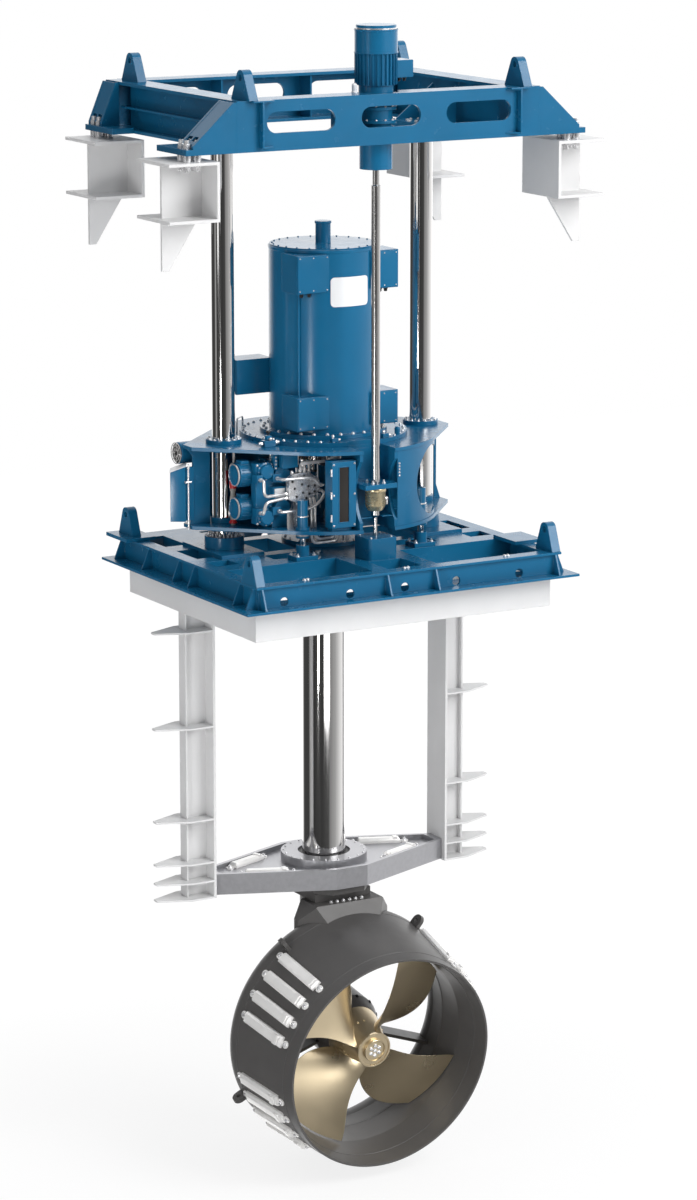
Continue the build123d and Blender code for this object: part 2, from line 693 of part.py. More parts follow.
def hoist_motor():
    """Foot, finned stator, brake housing and fan cowl, with a terminal box on the right."""
    fins_low = HOIST_MOTOR_BASE + HOIST_FOOT_HEIGHT
    brake_low = fins_low + HOIST_FIN_HEIGHT
    brake_top = brake_low + HOIST_BRAKE_HEIGHT
    body = disc(HOIST_MOTOR_R - 30, HOIST_MOTOR_BASE, fins_low, 0, SPINDLE_Y)
    body += disc(HOIST_MOTOR_R - 14, fins_low, brake_low, 0, SPINDLE_Y)
    for i in range(HOIST_FINS):
        x, y = polar(HOIST_MOTOR_R - 12, i * 360 / HOIST_FINS)
        place = Pos(x, SPINDLE_Y + y, (fins_low + brake_low) / 2) * Rot(0, 0, i * 360 / HOIST_FINS)
        body += place * Box(30, 6, HOIST_FIN_HEIGHT - 11)
    body += disc(HOIST_MOTOR_R + 3, brake_low, brake_top, 0, SPINDLE_Y)
    body += disc(HOIST_MOTOR_R - 8, brake_top + 16, brake_top + 40, 0, SPINDLE_Y)
    for i in range(4):
        x, y = polar(HOIST_MOTOR_R - 35, 45 + 90 * i)
        body += disc(9, brake_top - 6, brake_top + 24, x, SPINDLE_Y + y)
    terminal_box = block(HOIST_MOTOR_R - 30, HOIST_MOTOR_R + 115, SPINDLE_Y - 95, SPINDLE_Y + 95,
                         fins_low + 56, fins_low + 196)
    return body + terminal_box


nodes["hoist_gear_housing"] = hoist_gear_housing()
nodes["hoist_motor"] = hoist_motor()


def spindle_foot_block():
    half = FOOT_BLOCK_X / 2
    top = DECK + FOOT_BLOCK_HEIGHT
    body = block(-half, half, SPINDLE_Y - half, SPINDLE_Y + half - 8, DECK, top)
    body = fillet(body.edges().filter_by(Axis.Z), 30)
    return body - disc(SPINDLE_TAIL_R + RUN_GAP, DECK + 60, top + 1, 0, SPINDLE_Y)


def hoist_spindle():
    top = UPPER_BOTTOM + UPPER_PLATE + 60
    neck = HOIST_GEAR_BOTTOM - 137
    nut_low = NUT_TOP - NUT_HEIGHT
    outline = [(0, DECK + 62), (SPINDLE_TAIL_R, DECK + 62), (SPINDLE_TAIL_R, nut_low - 60),
               (SPINDLE_R, nut_low - 40), (SPINDLE_R, neck), (SPINDLE_NECK_R, neck + 6),
               (SPINDLE_NECK_R, top), (0, top)]
    return Pos(0, SPINDLE_Y, 0) * turned(outline)


nodes["spindle_foot_block"] = spindle_foot_block()
nodes["hoist_spindle"] = hoist_spindle()


# Carriage plates and webs

def tangent_point(nose_x, nose_y):
    """Where a straight edge from the nose corner (nose_x, nose_y) meets the plate's circle."""
    reach = hypot(nose_x, nose_y)
    angle = atan2(nose_y, nose_x) + acos(CARRIAGE_R / reach)
    return CARRIAGE_R * cos(angle), CARRIAGE_R * sin(angle)


def carriage_outline():
    """Round deck with a pointed nose on the left and a blunt one on the right."""
    left_x, left_y = tangent_point(NOSE_LEFT_X, NOSE_LEFT_Y)
    right_x, right_y = tangent_point(NOSE_RIGHT_X, NOSE_RIGHT_Y)
    edges = [
        Polyline((-left_x, -left_y), (-NOSE_LEFT_X, -NOSE_LEFT_Y), (-NOSE_LEFT_X, NOSE_LEFT_Y),
                 (-left_x, left_y)),
        ThreePointArc((-left_x, left_y), (0, CARRIAGE_R), (right_x, right_y)),
        Polyline((right_x, right_y), (NOSE_RIGHT_X, NOSE_RIGHT_Y), (NOSE_RIGHT_X, -NOSE_RIGHT_Y),
                 (right_x, -right_y)),
        ThreePointArc((right_x, -right_y), (0, -CARRIAGE_R), (-left_x, -left_y)),
    ]
    return make_face(Curve() + edges)


def carriage_deck(z0, z1, centre_r):
    deck = extrude(Pos(0, 0, z0) * carriage_outline(), amount=z1 - z0)
    deck -= block(-NOTCH_X, NOTCH_X, -CARRIAGE_R - 50, NOTCH_REAR, z0 - 1, z1 + 1)
    deck -= disc(centre_r, z0 - 1, z1 + 1)
    for side in (-1, 1):
        deck -= disc(BUSH_SLEEVE_R + SEAT_GAP, z0 - 1, z1 + 1, side * COLUMN_X)
    return deck


def front_web(x0):
    """Upright plate beside the spindle notch, dished at its free edge."""
    low = CARRIAGE_BOTTOM + CARRIAGE_PLATE
    high = CARRIAGE_TOP - CARRIAGE_PLATE
    mid = (low + high) / 2
    curve = ThreePointArc((0, FRONT_WEB_Y, low + 60), (0, FRONT_WEB_Y + FRONT_WEB_DISH, mid),
                          (0, FRONT_WEB_Y, high - 60))
    rest = Polyline((0, FRONT_WEB_Y, high - 60), (0, FRONT_WEB_Y, high), (0, NOTCH_REAR, high),
                    (0, NOTCH_REAR, low), (0, FRONT_WEB_Y, low), (0, FRONT_WEB_Y, low + 60))
    return extrude(Pos(x0, 0, 0) * make_face(curve + rest), amount=FRONT_WEB, dir=(1, 0, 0))


def carriage_front_webs():
    low = CARRIAGE_BOTTOM + CARRIAGE_PLATE
    high = CARRIAGE_TOP - CARRIAGE_PLATE
    outer = NOTCH_X + FRONT_WEB
    back = block(-outer, outer, NOTCH_REAR, NOTCH_REAR + PLATE, low, high)
    return fuse([front_web(-outer), front_web(NOTCH_X), back])


def carriage_shell(mirror_y):
    """Curved side web under the deck's edge, with a round scallop in its free end."""
    low = CARRIAGE_BOTTOM + CARRIAGE_PLATE
    high = CARRIAGE_TOP - CARRIAGE_PLATE
    start, end = SHELL_SPAN
    mid = (start + end) / 2
    inner_r = SHELL_R - WEB
    corners = [polar(r, a) for r in (SHELL_R, inner_r) for a in (start, end)]
    edges = [
        ThreePointArc(corners[0], polar(SHELL_R, mid), corners[1]),
        Line(corners[1], corners[3]),
        ThreePointArc(corners[3], polar(inner_r, mid), corners[2]),
        Line(corners[2], corners[0]),
    ]
    shell = extrude(Pos(0, 0, low) * make_face(Curve() + edges), amount=high - low)
    outer = NOTCH_X + FRONT_WEB
    shell -= block(-outer, outer, -SHELL_R - 10, -SHELL_R + 100, low - 1, high + 1)
    x, y = polar(SHELL_R, SCALLOP_ANGLE)
    cutter = Pos(x, y, (low + high) / 2) * Rot(0, 0, SCALLOP_ANGLE) * Rot(0, 90, 0)
    shell -= cutter * Cylinder(SCALLOP_R, 500)
    tip_x, tip_y = polar(SHELL_R, end)
    opening = Pos(tip_x, tip_y, (low + high) / 2) * Rot(0, 0, end) * Box(400, 160, 460)
    shell -= opening
    return mirror(shell, about=Plane.XZ) if mirror_y else shell


def carriage_side_webs():
    low = CARRIAGE_BOTTOM + CARRIAGE_PLATE
    high = CARRIAGE_TOP - CARRIAGE_PLATE
    pieces = [carriage_shell(False), carriage_shell(True)]
    for side in (-1, 1):
        x0, x1 = sorted((side * 420, side * (COLUMN_X + 60)))
        pieces.append(block(x0, x1, 170, 170 + WEB, low, high))
    nose_left = [(-NOSE_LEFT_X + 20, low), (-NOSE_LEFT_X + 45, low + 90), (-NOSE_LEFT_X + 45, high - 60),
                 (-NOSE_LEFT_X + 5, high), (-1085, high), (-1085, low)]
    pieces.append(prism_xz(nose_left, -WEB / 2, WEB / 2))
    nose_right = [(1085, low), (1085, high), (NOSE_RIGHT_X - 5, high), (1105, high - 120),
                  (1105, low + 120), (NOSE_RIGHT_X - 5, low)]
    pieces.append(prism_xz(nose_right, -WEB / 2, WEB / 2))
    return group(pieces)


def column_bushings():
    pieces = []
    bore = COLUMN_R + RUN_GAP
    for side in (-1, 1):
        for face, sign in ((CARRIAGE_TOP, 1), (CARRIAGE_BOTTOM, -1)):
            z = sorted((face, face + sign * BUSH_FLANGE))
            flange = ring(BUSH_FLANGE_R, bore, z[0], z[1], side * COLUMN_X)
            inner = sorted((face, face - sign * (CARRIAGE_PLATE + 40)))
            sleeve = ring(BUSH_SLEEVE_R, bore, inner[0], inner[1], side * COLUMN_X)
            pieces.append(flange + sleeve)
    return group(pieces)


nodes["carriage_top_plate"] = carriage_deck(CARRIAGE_TOP - CARRIAGE_PLATE, CARRIAGE_TOP,
                                            DRIVE_SHAFT_R + 60)
nodes["carriage_bottom_plate"] = carriage_deck(CARRIAGE_BOTTOM, CARRIAGE_BOTTOM + CARRIAGE_PLATE,
                                               STEM_R + 49)
nodes["carriage_front_webs"] = carriage_front_webs()
nodes["carriage_side_webs"] = carriage_side_webs()
nodes["column_bushings"] = column_bushings()


# Stem housing, slewing bearing and steering drives

STEER_CENTRES = (RING_TEETH + PINION_TEETH) * MODULE / 2


def stem_housing():
    low = CARRIAGE_BOTTOM
    outline = [(STEM_R + RUN_GAP, low - 20), (STEM_R + 90, low - 20), (STEM_R + 90, low),
               (STEM_R + 48, low), (STEM_R + 48, 820), (STEM_R + RUN_GAP, 820)]
    return turned(outline)


def slewing_bearing():
    high = CARRIAGE_TOP - CARRIAGE_PLATE
    return ring(345, 255 + RUN_GAP, high - 40, high)


def steering_motors():
    pieces = []
    high = CARRIAGE_TOP - CARRIAGE_PLATE
    for angle in STEER_MOTOR_AXES:
        x, y = polar(STEER_CENTRES, angle)
        low = GEAR_TOP - GEAR_FACE - 12
        body = disc(STEER_MOTOR_R, 690, low, x, y) + disc(STEER_MOTOR_R - 22, 560, 690, x, y)
        body += disc(STEER_MOTOR_R - 55, CARRIAGE_BOTTOM + CARRIAGE_PLATE, 560, x, y)
        body -= disc(32 + RUN_GAP, low - 80, low + 1, x, y)
        pieces.append(body)
        top = ring(70, 32 + RUN_GAP, GEAR_TOP + 12, high, x, y)
        pieces.append(top)
    return group(pieces)


def involute_points(base_r, r_from, r_to, steps):
    """(radius, polar angle) of an involute that starts at angle zero on its base circle."""
    points = []
    for i in range(steps + 1):
        r = r_from + (r_to - r_from) * i / steps
        roll = sqrt(max((r / base_r) ** 2 - 1, 0.0))
        points.append((r, roll - atan2(roll, 1)))
    return points


def gear_face(teeth, turn=0.0, steps=2):
    """Spur gear outline about the origin, with one tooth on the direction turn (degrees)."""
    pitch_r = teeth * MODULE / 2
    base_r = pitch_r * cos(radians(PRESSURE_ANGLE))
    tip_r = pitch_r + MODULE * 0.95
    root_r = pitch_r - MODULE * 1.2
    flank_from = max(base_r, root_r + 0.5)
    roll_pitch = sqrt((pitch_r / base_r) ** 2 - 1)
    at_pitch = roll_pitch - atan2(roll_pitch, 1)
    half = (pi * MODULE / 2 - TOOTH_BACKLASH) / 2 / pitch_r
    flank = [(r, half + at_pitch - a) for r, a in involute_points(base_r, flank_from, tip_r, steps)]
    outline = []
    for i in range(teeth):
        mid = radians(turn) + 2 * pi * i / teeth
        right = [(root_r, -flank[0][1])] + [(r, -a) for r, a in flank]
        left = [(r, a) for r, a in reversed(flank)] + [(root_r, flank[0][1])]
        for r, a in right + left:
            outline.append((r * cos(mid + a), r * sin(mid + a)))
    return face_of(outline)


def steering_gear():
    """Gear ring on top of the stem with the inner race of the slewing bearing."""
    low = GEAR_TOP - GEAR_FACE
    gear = extrude(Pos(0, 0, low) * gear_face(RING_TEETH, STEER_MOTOR_AXES[0]), amount=GEAR_FACE)
    gear += disc(255, GEAR_TOP, CARRIAGE_TOP - CARRIAGE_PLATE - 5)
    return gear - disc(STEM_R + SEAT_GAP, low - 1, CARRIAGE_TOP)


def steering_pinion(angle):
    """Pinion with a tooth gap towards the ring tooth that points at it."""
    low = GEAR_TOP - GEAR_FACE
    x, y = polar(STEER_CENTRES, angle)
    gap_turn = angle + 180 + 180 / PINION_TEETH
    wheel = extrude(Pos(0, 0, low) * gear_face(PINION_TEETH, gap_turn), amount=GEAR_FACE)
    shaft = disc(32, low - 90, CARRIAGE_TOP - CARRIAGE_PLATE - 3)
    return Pos(x, y, 0) * (wheel + shaft)


nodes["stem_bearings"] = group([stem_housing(), slewing_bearing()])
nodes["steering_motors"] = steering_motors()
nodes["steering_gear"] = steering_gear()
nodes["steering_pinion_front"] = steering_pinion(STEER_MOTOR_AXES[0])
nodes["steering_pinion_rear"] = steering_pinion(STEER_MOTOR_AXES[1])


# Main motor

MOTOR_FLOOR = CARRIAGE_TOP + MOTOR_DISC


def motor_base_disc():
    """Base disc of the main motor, with the boss of its lower shaft bearing."""
    inner = DRIVE_SHAFT_R + RUN_GAP
    neck = DRIVE_SHAFT_R + 60 - SEAT_GAP
    plate = turned([(inner, CARRIAGE_TOP - 20), (neck, CARRIAGE_TOP - 20), (neck, CARRIAGE_TOP),
                    (MOTOR_DISC_R, CARRIAGE_TOP), (MOTOR_DISC_R, MOTOR_FLOOR), (200, MOTOR_FLOOR),
                    (200, MOTOR_FLOOR + 40), (inner, MOTOR_FLOOR + 40)])
    return plate - block(-NOTCH_X, NOTCH_X, -MOTOR_DISC_R - 10, NOTCH_REAR, CARRIAGE_TOP - 1,
                         MOTOR_FLOOR + 1)


def main_motor_housing():
    outline = [(MOTOR_R - MOTOR_WALL, MOTOR_FLOOR), (MOTOR_FOOT_R, MOTOR_FLOOR),
               (MOTOR_FOOT_R, MOTOR_FLOOR + MOTOR_FOOT), (MOTOR_R, MOTOR_FLOOR + MOTOR_FOOT),
               (MOTOR_R, MOTOR_TOP), (MOTOR_R - MOTOR_WALL, MOTOR_TOP)]
    return turned(outline)


def main_motor_cover():
    outer = [(DRIVE_SHAFT_R + RUN_GAP, MOTOR_TOP - 60), (150, MOTOR_TOP - 60), (150, MOTOR_TOP - 20),
             (MOTOR_R - MOTOR_WALL - SEAT_GAP, MOTOR_TOP - 20),
             (MOTOR_R - MOTOR_WALL - SEAT_GAP, MOTOR_TOP), (MOTOR_R - 6, MOTOR_TOP),
             (MOTOR_R - 6, MOTOR_TOP + 10), (0, MOTOR_TOP + 10), (0, MOTOR_TOP - 14),
             (DRIVE_SHAFT_R + RUN_GAP, MOTOR_TOP - 14)]
    return turned(outer) + disc(CABLE_PIPE_R, MOTOR_TOP + 8, MOTOR_TOP + CABLE_PIPE_HEIGHT)


STATOR_LOW = (MOTOR_FLOOR + MOTOR_TOP - STATOR_LENGTH) / 2
STATOR_HIGH = STATOR_LOW + STATOR_LENGTH


def main_motor_stator():
    """Laminated core in the drum with its two winding heads."""
    core = ring(MOTOR_R - MOTOR_WALL - SEAT_GAP, STATOR_R, STATOR_LOW, STATOR_HIGH)
    for z0, z1 in ((STATOR_LOW - 90, STATOR_LOW), (STATOR_HIGH, STATOR_HIGH + 90)):
        core += ring(400, STATOR_R + 12, z0, z1)
    return core


def motor_terminal_boxes():
    """Boxes on the front of the drum, two high and two low, and one on its left side."""
    drum = disc(MOTOR_R + SEAT_GAP, CARRIAGE_TOP, MOTOR_TOP)
    pieces = []
    for x0, x1, face in ((-478.0, -174.0, -410.0), (217.0, 487.0, -405.0)):
        pieces.append(block(x0, x1, face, -150, MOTOR_TOP - 348, MOTOR_TOP - 31))
        pieces.append(block(x0, x1, face, -150, MOTOR_FLOOR + 72, MOTOR_FLOOR + 352))
    pieces.append(block(-700, -360, 230, 460, MOTOR_FLOOR + 308, MOTOR_FLOOR + 600))
    return group([piece - drum for piece in pieces])


nodes["motor_base_disc"] = motor_base_disc()
nodes["main_motor_housing"] = main_motor_housing()
nodes["main_motor_cover"] = main_motor_cover()
nodes["main_motor_stator"] = main_motor_stator()
nodes["motor_terminal_boxes"] = motor_terminal_boxes()


def main_motor_rotor():
    bore = DRIVE_SHAFT_R + SEAT_GAP
    low = STATOR_LOW + 10
    high = STATOR_HIGH - 10
    outline = [(bore, low - 50), (230, low - 50), (230, low), (ROTOR_R, low),
               (ROTOR_R, high), (230, high), (230, high + 50), (bore, high + 50)]
    return turned(outline)


nodes["main_motor_rotor"] = main_motor_rotor()


# Equipment on the carriage

CARRIAGE_FLOOR = CARRIAGE_BOTTOM + CARRIAGE_PLATE
CARRIAGE_CEILING = CARRIAGE_TOP - CARRIAGE_PLATE


def spindle_nut():
    low = NUT_TOP - NUT_HEIGHT
    outline = [(SPINDLE_R + RUN_GAP, low), (NUT_R - 14, low), (NUT_R, low + 40), (NUT_R, NUT_TOP - 30),
               (NUT_FLANGE_R, NUT_TOP - 30), (NUT_FLANGE_R, NUT_TOP), (SPINDLE_R + RUN_GAP, NUT_TOP)]
    return Pos(0, SPINDLE_Y, 0) * turned(outline)


def nut_bridge():
    """Cross plate between the front webs, which rests on the spindle nut."""
    top = NUT_TOP + BRIDGE_THICK
    plate = block(-NOTCH_X, NOTCH_X, SPINDLE_Y - 100, NOTCH_REAR, NUT_TOP, top)
    return plate - disc(SPINDLE_R + 9, NUT_TOP - 1, top + 1, 0, SPINDLE_Y)


def pump_motors():
    """Two level electric motors of the steering pumps, one above the other."""
    pieces = []
    for z in (620.0, 900.0):
        body = Pos(-880, -330, z) * Rot(0, 90, 0) * Cylinder(96, 270)
        body += Pos(-1022, -330, z) * Rot(0, 90, 0) * Cylinder(84, 30)
        pieces.append(body)
    return group(pieces)


def pump_unit():
    base = block(-745, -600, -450, -215, CARRIAGE_FLOOR, 1010)
    for z in (620.0, 900.0):
        base += Pos(-665, -330, z) * Rot(0, 90, 0) * Cylinder(112, 130)
        base += Pos(-570, -330, z) * Rot(0, 90, 0) * Cylinder(60, 90)
        base += Pos(-672, -470, z) * Rot(90, 0, 0) * Cylinder(70, 60)
    return base


def hydraulic_manifold():
    plate = [(-660, 0, 700), (-660, 0, 870), (-600, 0, 915), (-480, 0, 915), (-380, 0, 860),
             (-370, 0, 780), (-440, 0, 690), (-590, 0, 670)]
    body = extrude(Pos(0, -540, 0) * face_of(plate), amount=56, dir=(0, -1, 0))
    post = block(-560, -470, -540, -480, CARRIAGE_FLOOR, 880)
    return body + post


def control_cabinet():
    box = block(-420, -195, -860, -690, 480, 1040)
    feet = block(-400, -215, -850, -700, CARRIAGE_FLOOR, 480)
    return box + feet


def control_cabinet_door():
    door = block(-420, -195, -890, -860 - RUN_GAP, 485, 1035)
    door -= block(-355, -260, -891, -880, 530, 990)
    return door


def junction_cabinet():
    box = block(-1480, -1300, -30, 290, 450, 880)
    arm = block(-1300, -NOSE_LEFT_X + 45, -20, 20, 620, 780)
    return box + arm


def lock_cylinders():
    pieces = []
    for sx in (-1, 1):
        for sy in (-1, 1):
            x, y = sx * LOCK_X, sy * LOCK_Y
            body = disc(LOCK_R, LOCK_BOTTOM, 700, x, y)
            body += disc(LOCK_R + 12, LOCK_BOTTOM, LOCK_BOTTOM + 18, x, y)
            body += disc(LOCK_R + 14, CARRIAGE_FLOOR, CARRIAGE_FLOOR + 22, x, y)
            body -= disc(LOCK_ROD_R + RUN_GAP, LOCK_BOTTOM - 1, LOCK_BOTTOM + 250, x, y)
            pieces.append(body)
    return group(pieces)


def lock_rods():
    pieces = []
    for sx in (-1, 1):
        for sy in (-1, 1):
            x, y = sx * LOCK_X, sy * LOCK_Y
            pieces.append(disc(LOCK_ROD_R, DECK + 36, LOCK_BOTTOM + 150, x, y))
    return group(pieces)


nodes["carriage_bottom_plate"] -= disc(LOCK_R + SEAT_GAP, CARRIAGE_BOTTOM - 1, CARRIAGE_FLOOR + 1,
                                       -LOCK_X, -LOCK_Y)
for lock_x, lock_y in ((LOCK_X, -LOCK_Y), (-LOCK_X, LOCK_Y), (LOCK_X, LOCK_Y)):
    nodes["carriage_bottom_plate"] -= disc(LOCK_R + SEAT_GAP, CARRIAGE_BOTTOM - 1,
                                           CARRIAGE_FLOOR + 1, lock_x, lock_y)

nodes["spindle_nut"] = spindle_nut()
nodes["nut_bridge"] = nut_bridge()
nodes["pump_motors"] = pump_motors()
nodes["pump_unit"] = pump_unit()
nodes["hydraulic_manifold"] = hydraulic_manifold()
nodes["cabinets"] = group([control_cabinet(), junction_cabinet()])
nodes["cabinet_door"] = control_cabinet_door()
nodes["lock_cylinders"] = lock_cylinders()
nodes["lock_rods"] = lock_rods()


# Diamond guide plate on the stem, between the trunk rails

def guide_plate():
    end_x = RAIL_FACE_X - RUN_GAP
    low = GUIDE_TOP - GUIDE_HEIGHT
    outline = [(-end_x, -GUIDE_END_Y), (-GUIDE_WAIST_X, -GUIDE_WAIST_Y), (GUIDE_WAIST_X, -GUIDE_WAIST_Y),
               (end_x, -GUIDE_END_Y), (end_x, GUIDE_END_Y), (GUIDE_WAIST_X, GUIDE_WAIST_Y),
               (-GUIDE_WAIST_X, GUIDE_WAIST_Y), (-end_x, GUIDE_END_Y)]
    plate = prism_xy(outline, low, GUIDE_TOP)
    lip = 35.0
    scale_x = (end_x - 2 * lip) / end_x
    scale_y = (GUIDE_WAIST_Y - lip * 1.2) / GUIDE_WAIST_Y
    inner = [(x * scale_x, y * scale_y) for x, y in outline]
    tray = prism_xy(inner, GUIDE_TOP - 40, GUIDE_TOP + 1) - disc(GUIDE_RING_R, GUIDE_TOP - 60,
                                                                GUIDE_TOP + 2)
    plate -= tray
    plate += disc(GUIDE_RING_R, GUIDE_TOP - 50, GUIDE_RING_TOP)
    return plate - disc(GUIDE_BUSH_R + SEAT_GAP, low - 1, GUIDE_RING_TOP + 1)


def guide_bush():
    return ring(GUIDE_BUSH_R, STEM_R + RUN_GAP, GUIDE_TOP - GUIDE_HEIGHT, GUIDE_RING_TOP - 14)


def anode(length, reach, width=62.0, height=44.0):
    """Zinc bar with bevelled edges along X on z=0, with a bolt eye past each end by reach."""
    half, side = length / 2, width / 2
    section = [(-side, 0), (side, 0), (side, height * 0.45), (side * 0.6, height),
               (-side * 0.6, height), (-side, height * 0.45)]
    bar = prism_yz(section, -half, half)
    for sign in (-1, 1):
        bar += disc(26, 0, 12, sign * (half + reach))
        bar += block(sign * half, sign * (half + reach), -14, 14, 0, 12)
    return bar


def guide_anodes():
    """Bars in the tray, two on each arm, laid along its edges."""
    slope = degrees(atan2(GUIDE_WAIST_Y - GUIDE_END_Y, RAIL_FACE_X - GUIDE_WAIST_X))
    pieces = []
    for sx in (-1, 1):
        for sy in (-1, 1):
            place = Pos(sx * 655, sy * 185, GUIDE_TOP - 40) * Rot(0, 0, -sx * sy * slope)
            pieces.append(place * anode(400, 26))
    return group(pieces)


nodes["guide_plate"] = guide_plate()
nodes["guide_bush"] = guide_bush()
nodes["guide_anodes"] = guide_anodes()


# Steering unit: stem tube and leaning lower unit

TILT_DOWN = radians(SHAFT_TILT)
SHAFT_LINE = Plane(origin=(0, 0, SHAFT_Z), x_dir=(1, 0, 0),
                   z_dir=(0, -cos(TILT_DOWN), -sin(TILT_DOWN)))
# In the plane of the shaft line, local z runs downstream and local y points up.


def on_shaft(shape):
    return SHAFT_LINE * shape


def stem_tube():
    return ring(STEM_R, STEM_BORE_R, STEM_BOTTOM, GEAR_TOP)


def shaft_bearings():
    pieces = []
    for z in (860.0, -900.0, STEM_BOTTOM + 46):
        pieces.append(ring(STEM_BORE_R, DRIVE_SHAFT_R + RUN_GAP, z - 35, z + 35))
    for s in (-GEAR_ROOM + 1, GEAR_ROOM - 51):
        pieces.append(on_shaft(ring(CROWN_R + 15, PROP_SHAFT_R + RUN_GAP, s, s + 50)))
    return group(pieces)


def stem_foot():
    """Bolting plate under the stem, pointed towards the saddle, and the block below it."""
    plate_low = STEM_BOTTOM - STEM_FOOT_PLATE
    x = STEM_FOOT_X
    outline = [(-155, STEM_FOOT_FRONT), (155, STEM_FOOT_FRONT), (x, -300), (x, STEM_FOOT_REAR),
               (-x, STEM_FOOT_REAR), (-x, -300)]
    plate = prism_xy(outline, plate_low, STEM_BOTTOM)
    return plate + block(-x, x, STEM_FOOT_FRONT + 100, STEM_FOOT_REAR, STRUT_TOP, plate_low)


def strut():
    """Oval neck from the foot block down to the pod."""
    top = Pos(0, 40, STRUT_TOP) * Ellipse(170, 240)
    bottom = Pos(0, 80, SHAFT_Z + 60) * Ellipse(125, 260)
    return loft([bottom, top])


def pod_body():
    """Drum round the bevel gears, with a nose of two arcs on its upstream end."""
    rise = POD_SHOULDER - POD_NOSE
    flank_r = (POD_R ** 2 + rise ** 2) / (2 * POD_R) + 5
    tip_r = 60.0
    tip_s = POD_SHOULDER - sqrt(flank_r ** 2 - (tip_r + flank_r - POD_R) ** 2)
    mid_r = 0.72 * POD_R
    mid_s = POD_SHOULDER - sqrt(flank_r ** 2 - (mid_r + flank_r - POD_R) ** 2)
    edges = [
        ThreePointArc((0, tip_s - 14), (tip_r * 0.55, tip_s - 10), (tip_r, tip_s)),
        ThreePointArc((tip_r, tip_s), (mid_r, mid_s), (POD_R, POD_SHOULDER)),
        Polyline((POD_R, POD_SHOULDER), (POD_R, POD_REAR), (0, POD_REAR), (0, tip_s - 14)),
    ]
    half = Plane.XZ * make_face(Curve() + edges)
    return on_shaft(revolve(half, Axis.Z, 360))


def seal_cover():
    """Cone that closes the pod round the propeller shaft, ahead of the hub."""
    bore = PROP_SHAFT_R + RUN_GAP
    return on_shaft(turned([(bore, POD_REAR), (POD_R, POD_REAR), (SEAL_COVER_R, SEAL_COVER_END),
                            (bore, SEAL_COVER_END)]))


def gear_pod():
    body = stem_foot() + strut() + pod_body()
    well = disc(STEM_BORE_R - 20, SHAFT_Z + 40, STEM_BOTTOM + 1)
    room = on_shaft(Cylinder(CROWN_R + 15, 2 * GEAR_ROOM))
    bore = on_shaft(Pos(0, 0, POD_REAR) * Cylinder(PROP_SHAFT_R + RUN_GAP, 2 * POD_REAR))
    return group([body - well - room - bore, seal_cover()])


def nozzle():
    """Revolved wing section: rounded inlet lip, flat throat and a straight flared outside."""
    outlet_in = NOZZLE_OUTLET_R - NOZZLE_EDGE
    mouth = (THROAT_R + 17, 330)
    edges = [
        ThreePointArc((NOZZLE_R, NOZZLE_SHOULDER), (NOZZLE_R - 24, 195), (NOZZLE_LIP_R, NOZZLE_INLET)),
        ThreePointArc((NOZZLE_LIP_R, NOZZLE_INLET), (THROAT_R + 36, 210), mouth),
        Polyline(mouth, (THROAT_R, 500), (THROAT_R, 790), (outlet_in, NOZZLE_OUTLET),
                 (NOZZLE_OUTLET_R, NOZZLE_OUTLET), (NOZZLE_R, NOZZLE_SHOULDER)),
    ]
    half = Plane.XZ * make_face(Curve() + edges)
    return on_shaft(revolve(half, Axis.Z, 360))


nodes["stem_tube"] = stem_tube()
nodes["shaft_bearings"] = shaft_bearings()
nodes["gear_pod"] = gear_pod()
nodes["nozzle"] = nozzle()


def nozzle_saddle():
    """Casting between the foot block and the crown of the nozzle, the common part of its views."""
    low = STRUT_TOP - 240
    front_lean = 77.0 / 132.0
    side_lean = 114.0 / 124.0
    flat = STRUT_TOP - (SADDLE_X - SADDLE_TOP_X) / side_lean
    front_view = prism_xz([(-SADDLE_TOP_X, STRUT_TOP), (SADDLE_TOP_X, STRUT_TOP), (SADDLE_X, flat),
                           (SADDLE_X, low), (-SADDLE_X, low), (-SADDLE_X, flat)], -700, 0)
    rear = -150.0
    side_view = prism_yz([(SADDLE_FRONT, STRUT_TOP), (SADDLE_FRONT - 240 * front_lean, low),
                          (rear, low), (rear, STRUT_TOP)], -SADDLE_X, SADDLE_X)
    plan = prism_xy([(-245, -540), (-200, -600), (200, -600), (245, -540), (SADDLE_X, -330),
                     (SADDLE_X, -260), (300, rear), (-300, rear), (-SADDLE_X, -260),
                     (-SADDLE_X, -330)], low, STRUT_TOP)
    inside = on_shaft(Pos(0, 0, 400) * Cylinder(NOZZLE_LIP_R + 7, 1600))
    return (front_view & side_view & plan) - inside - nodes["nozzle"] - nodes["gear_pod"]


def pod_stays():
    """Flat stays between the pod and the inlet side of the nozzle."""
    pieces = []
    for angle in STAY_ANGLES:
        stay = block(POD_R - 8, THROAT_R + 60, -STAY_THICK / 2, STAY_THICK / 2, 190, POD_REAR - 5)
        stay = on_shaft(Rot(0, 0, angle) * stay)
        pieces.append(stay - nodes["nozzle"] - nodes["gear_pod"])
    return pieces


def nozzle_lug(angle, along):
    """Lifting fin that stands along the flow on the nozzle, with a round top and an eye."""
    half = NOZZLE_LUG_HEIGHT * 0.57
    centre = NOZZLE_R + NOZZLE_LUG_HEIGHT - half
    low = NOZZLE_R - 40
    edges = [
        Polyline((centre, 0, -half), (low, 0, -half), (low, 0, half), (centre, 0, half)),
        ThreePointArc((centre, 0, half), (centre + half, 0, 0), (centre, 0, -half)),
    ]
    fin = extrude(Pos(0, -NOZZLE_LUG_THICK / 2, 0) * make_face(Curve() + edges),
                  amount=NOZZLE_LUG_THICK, dir=(0, 1, 0))
    fin -= Pos(centre, 0, 0) * Rot(90, 0, 0) * Cylinder(20, 2 * NOZZLE_LUG_THICK)
    return on_shaft(Rot(0, 0, angle) * Pos(0, 0, along) * fin) - nodes["nozzle"]


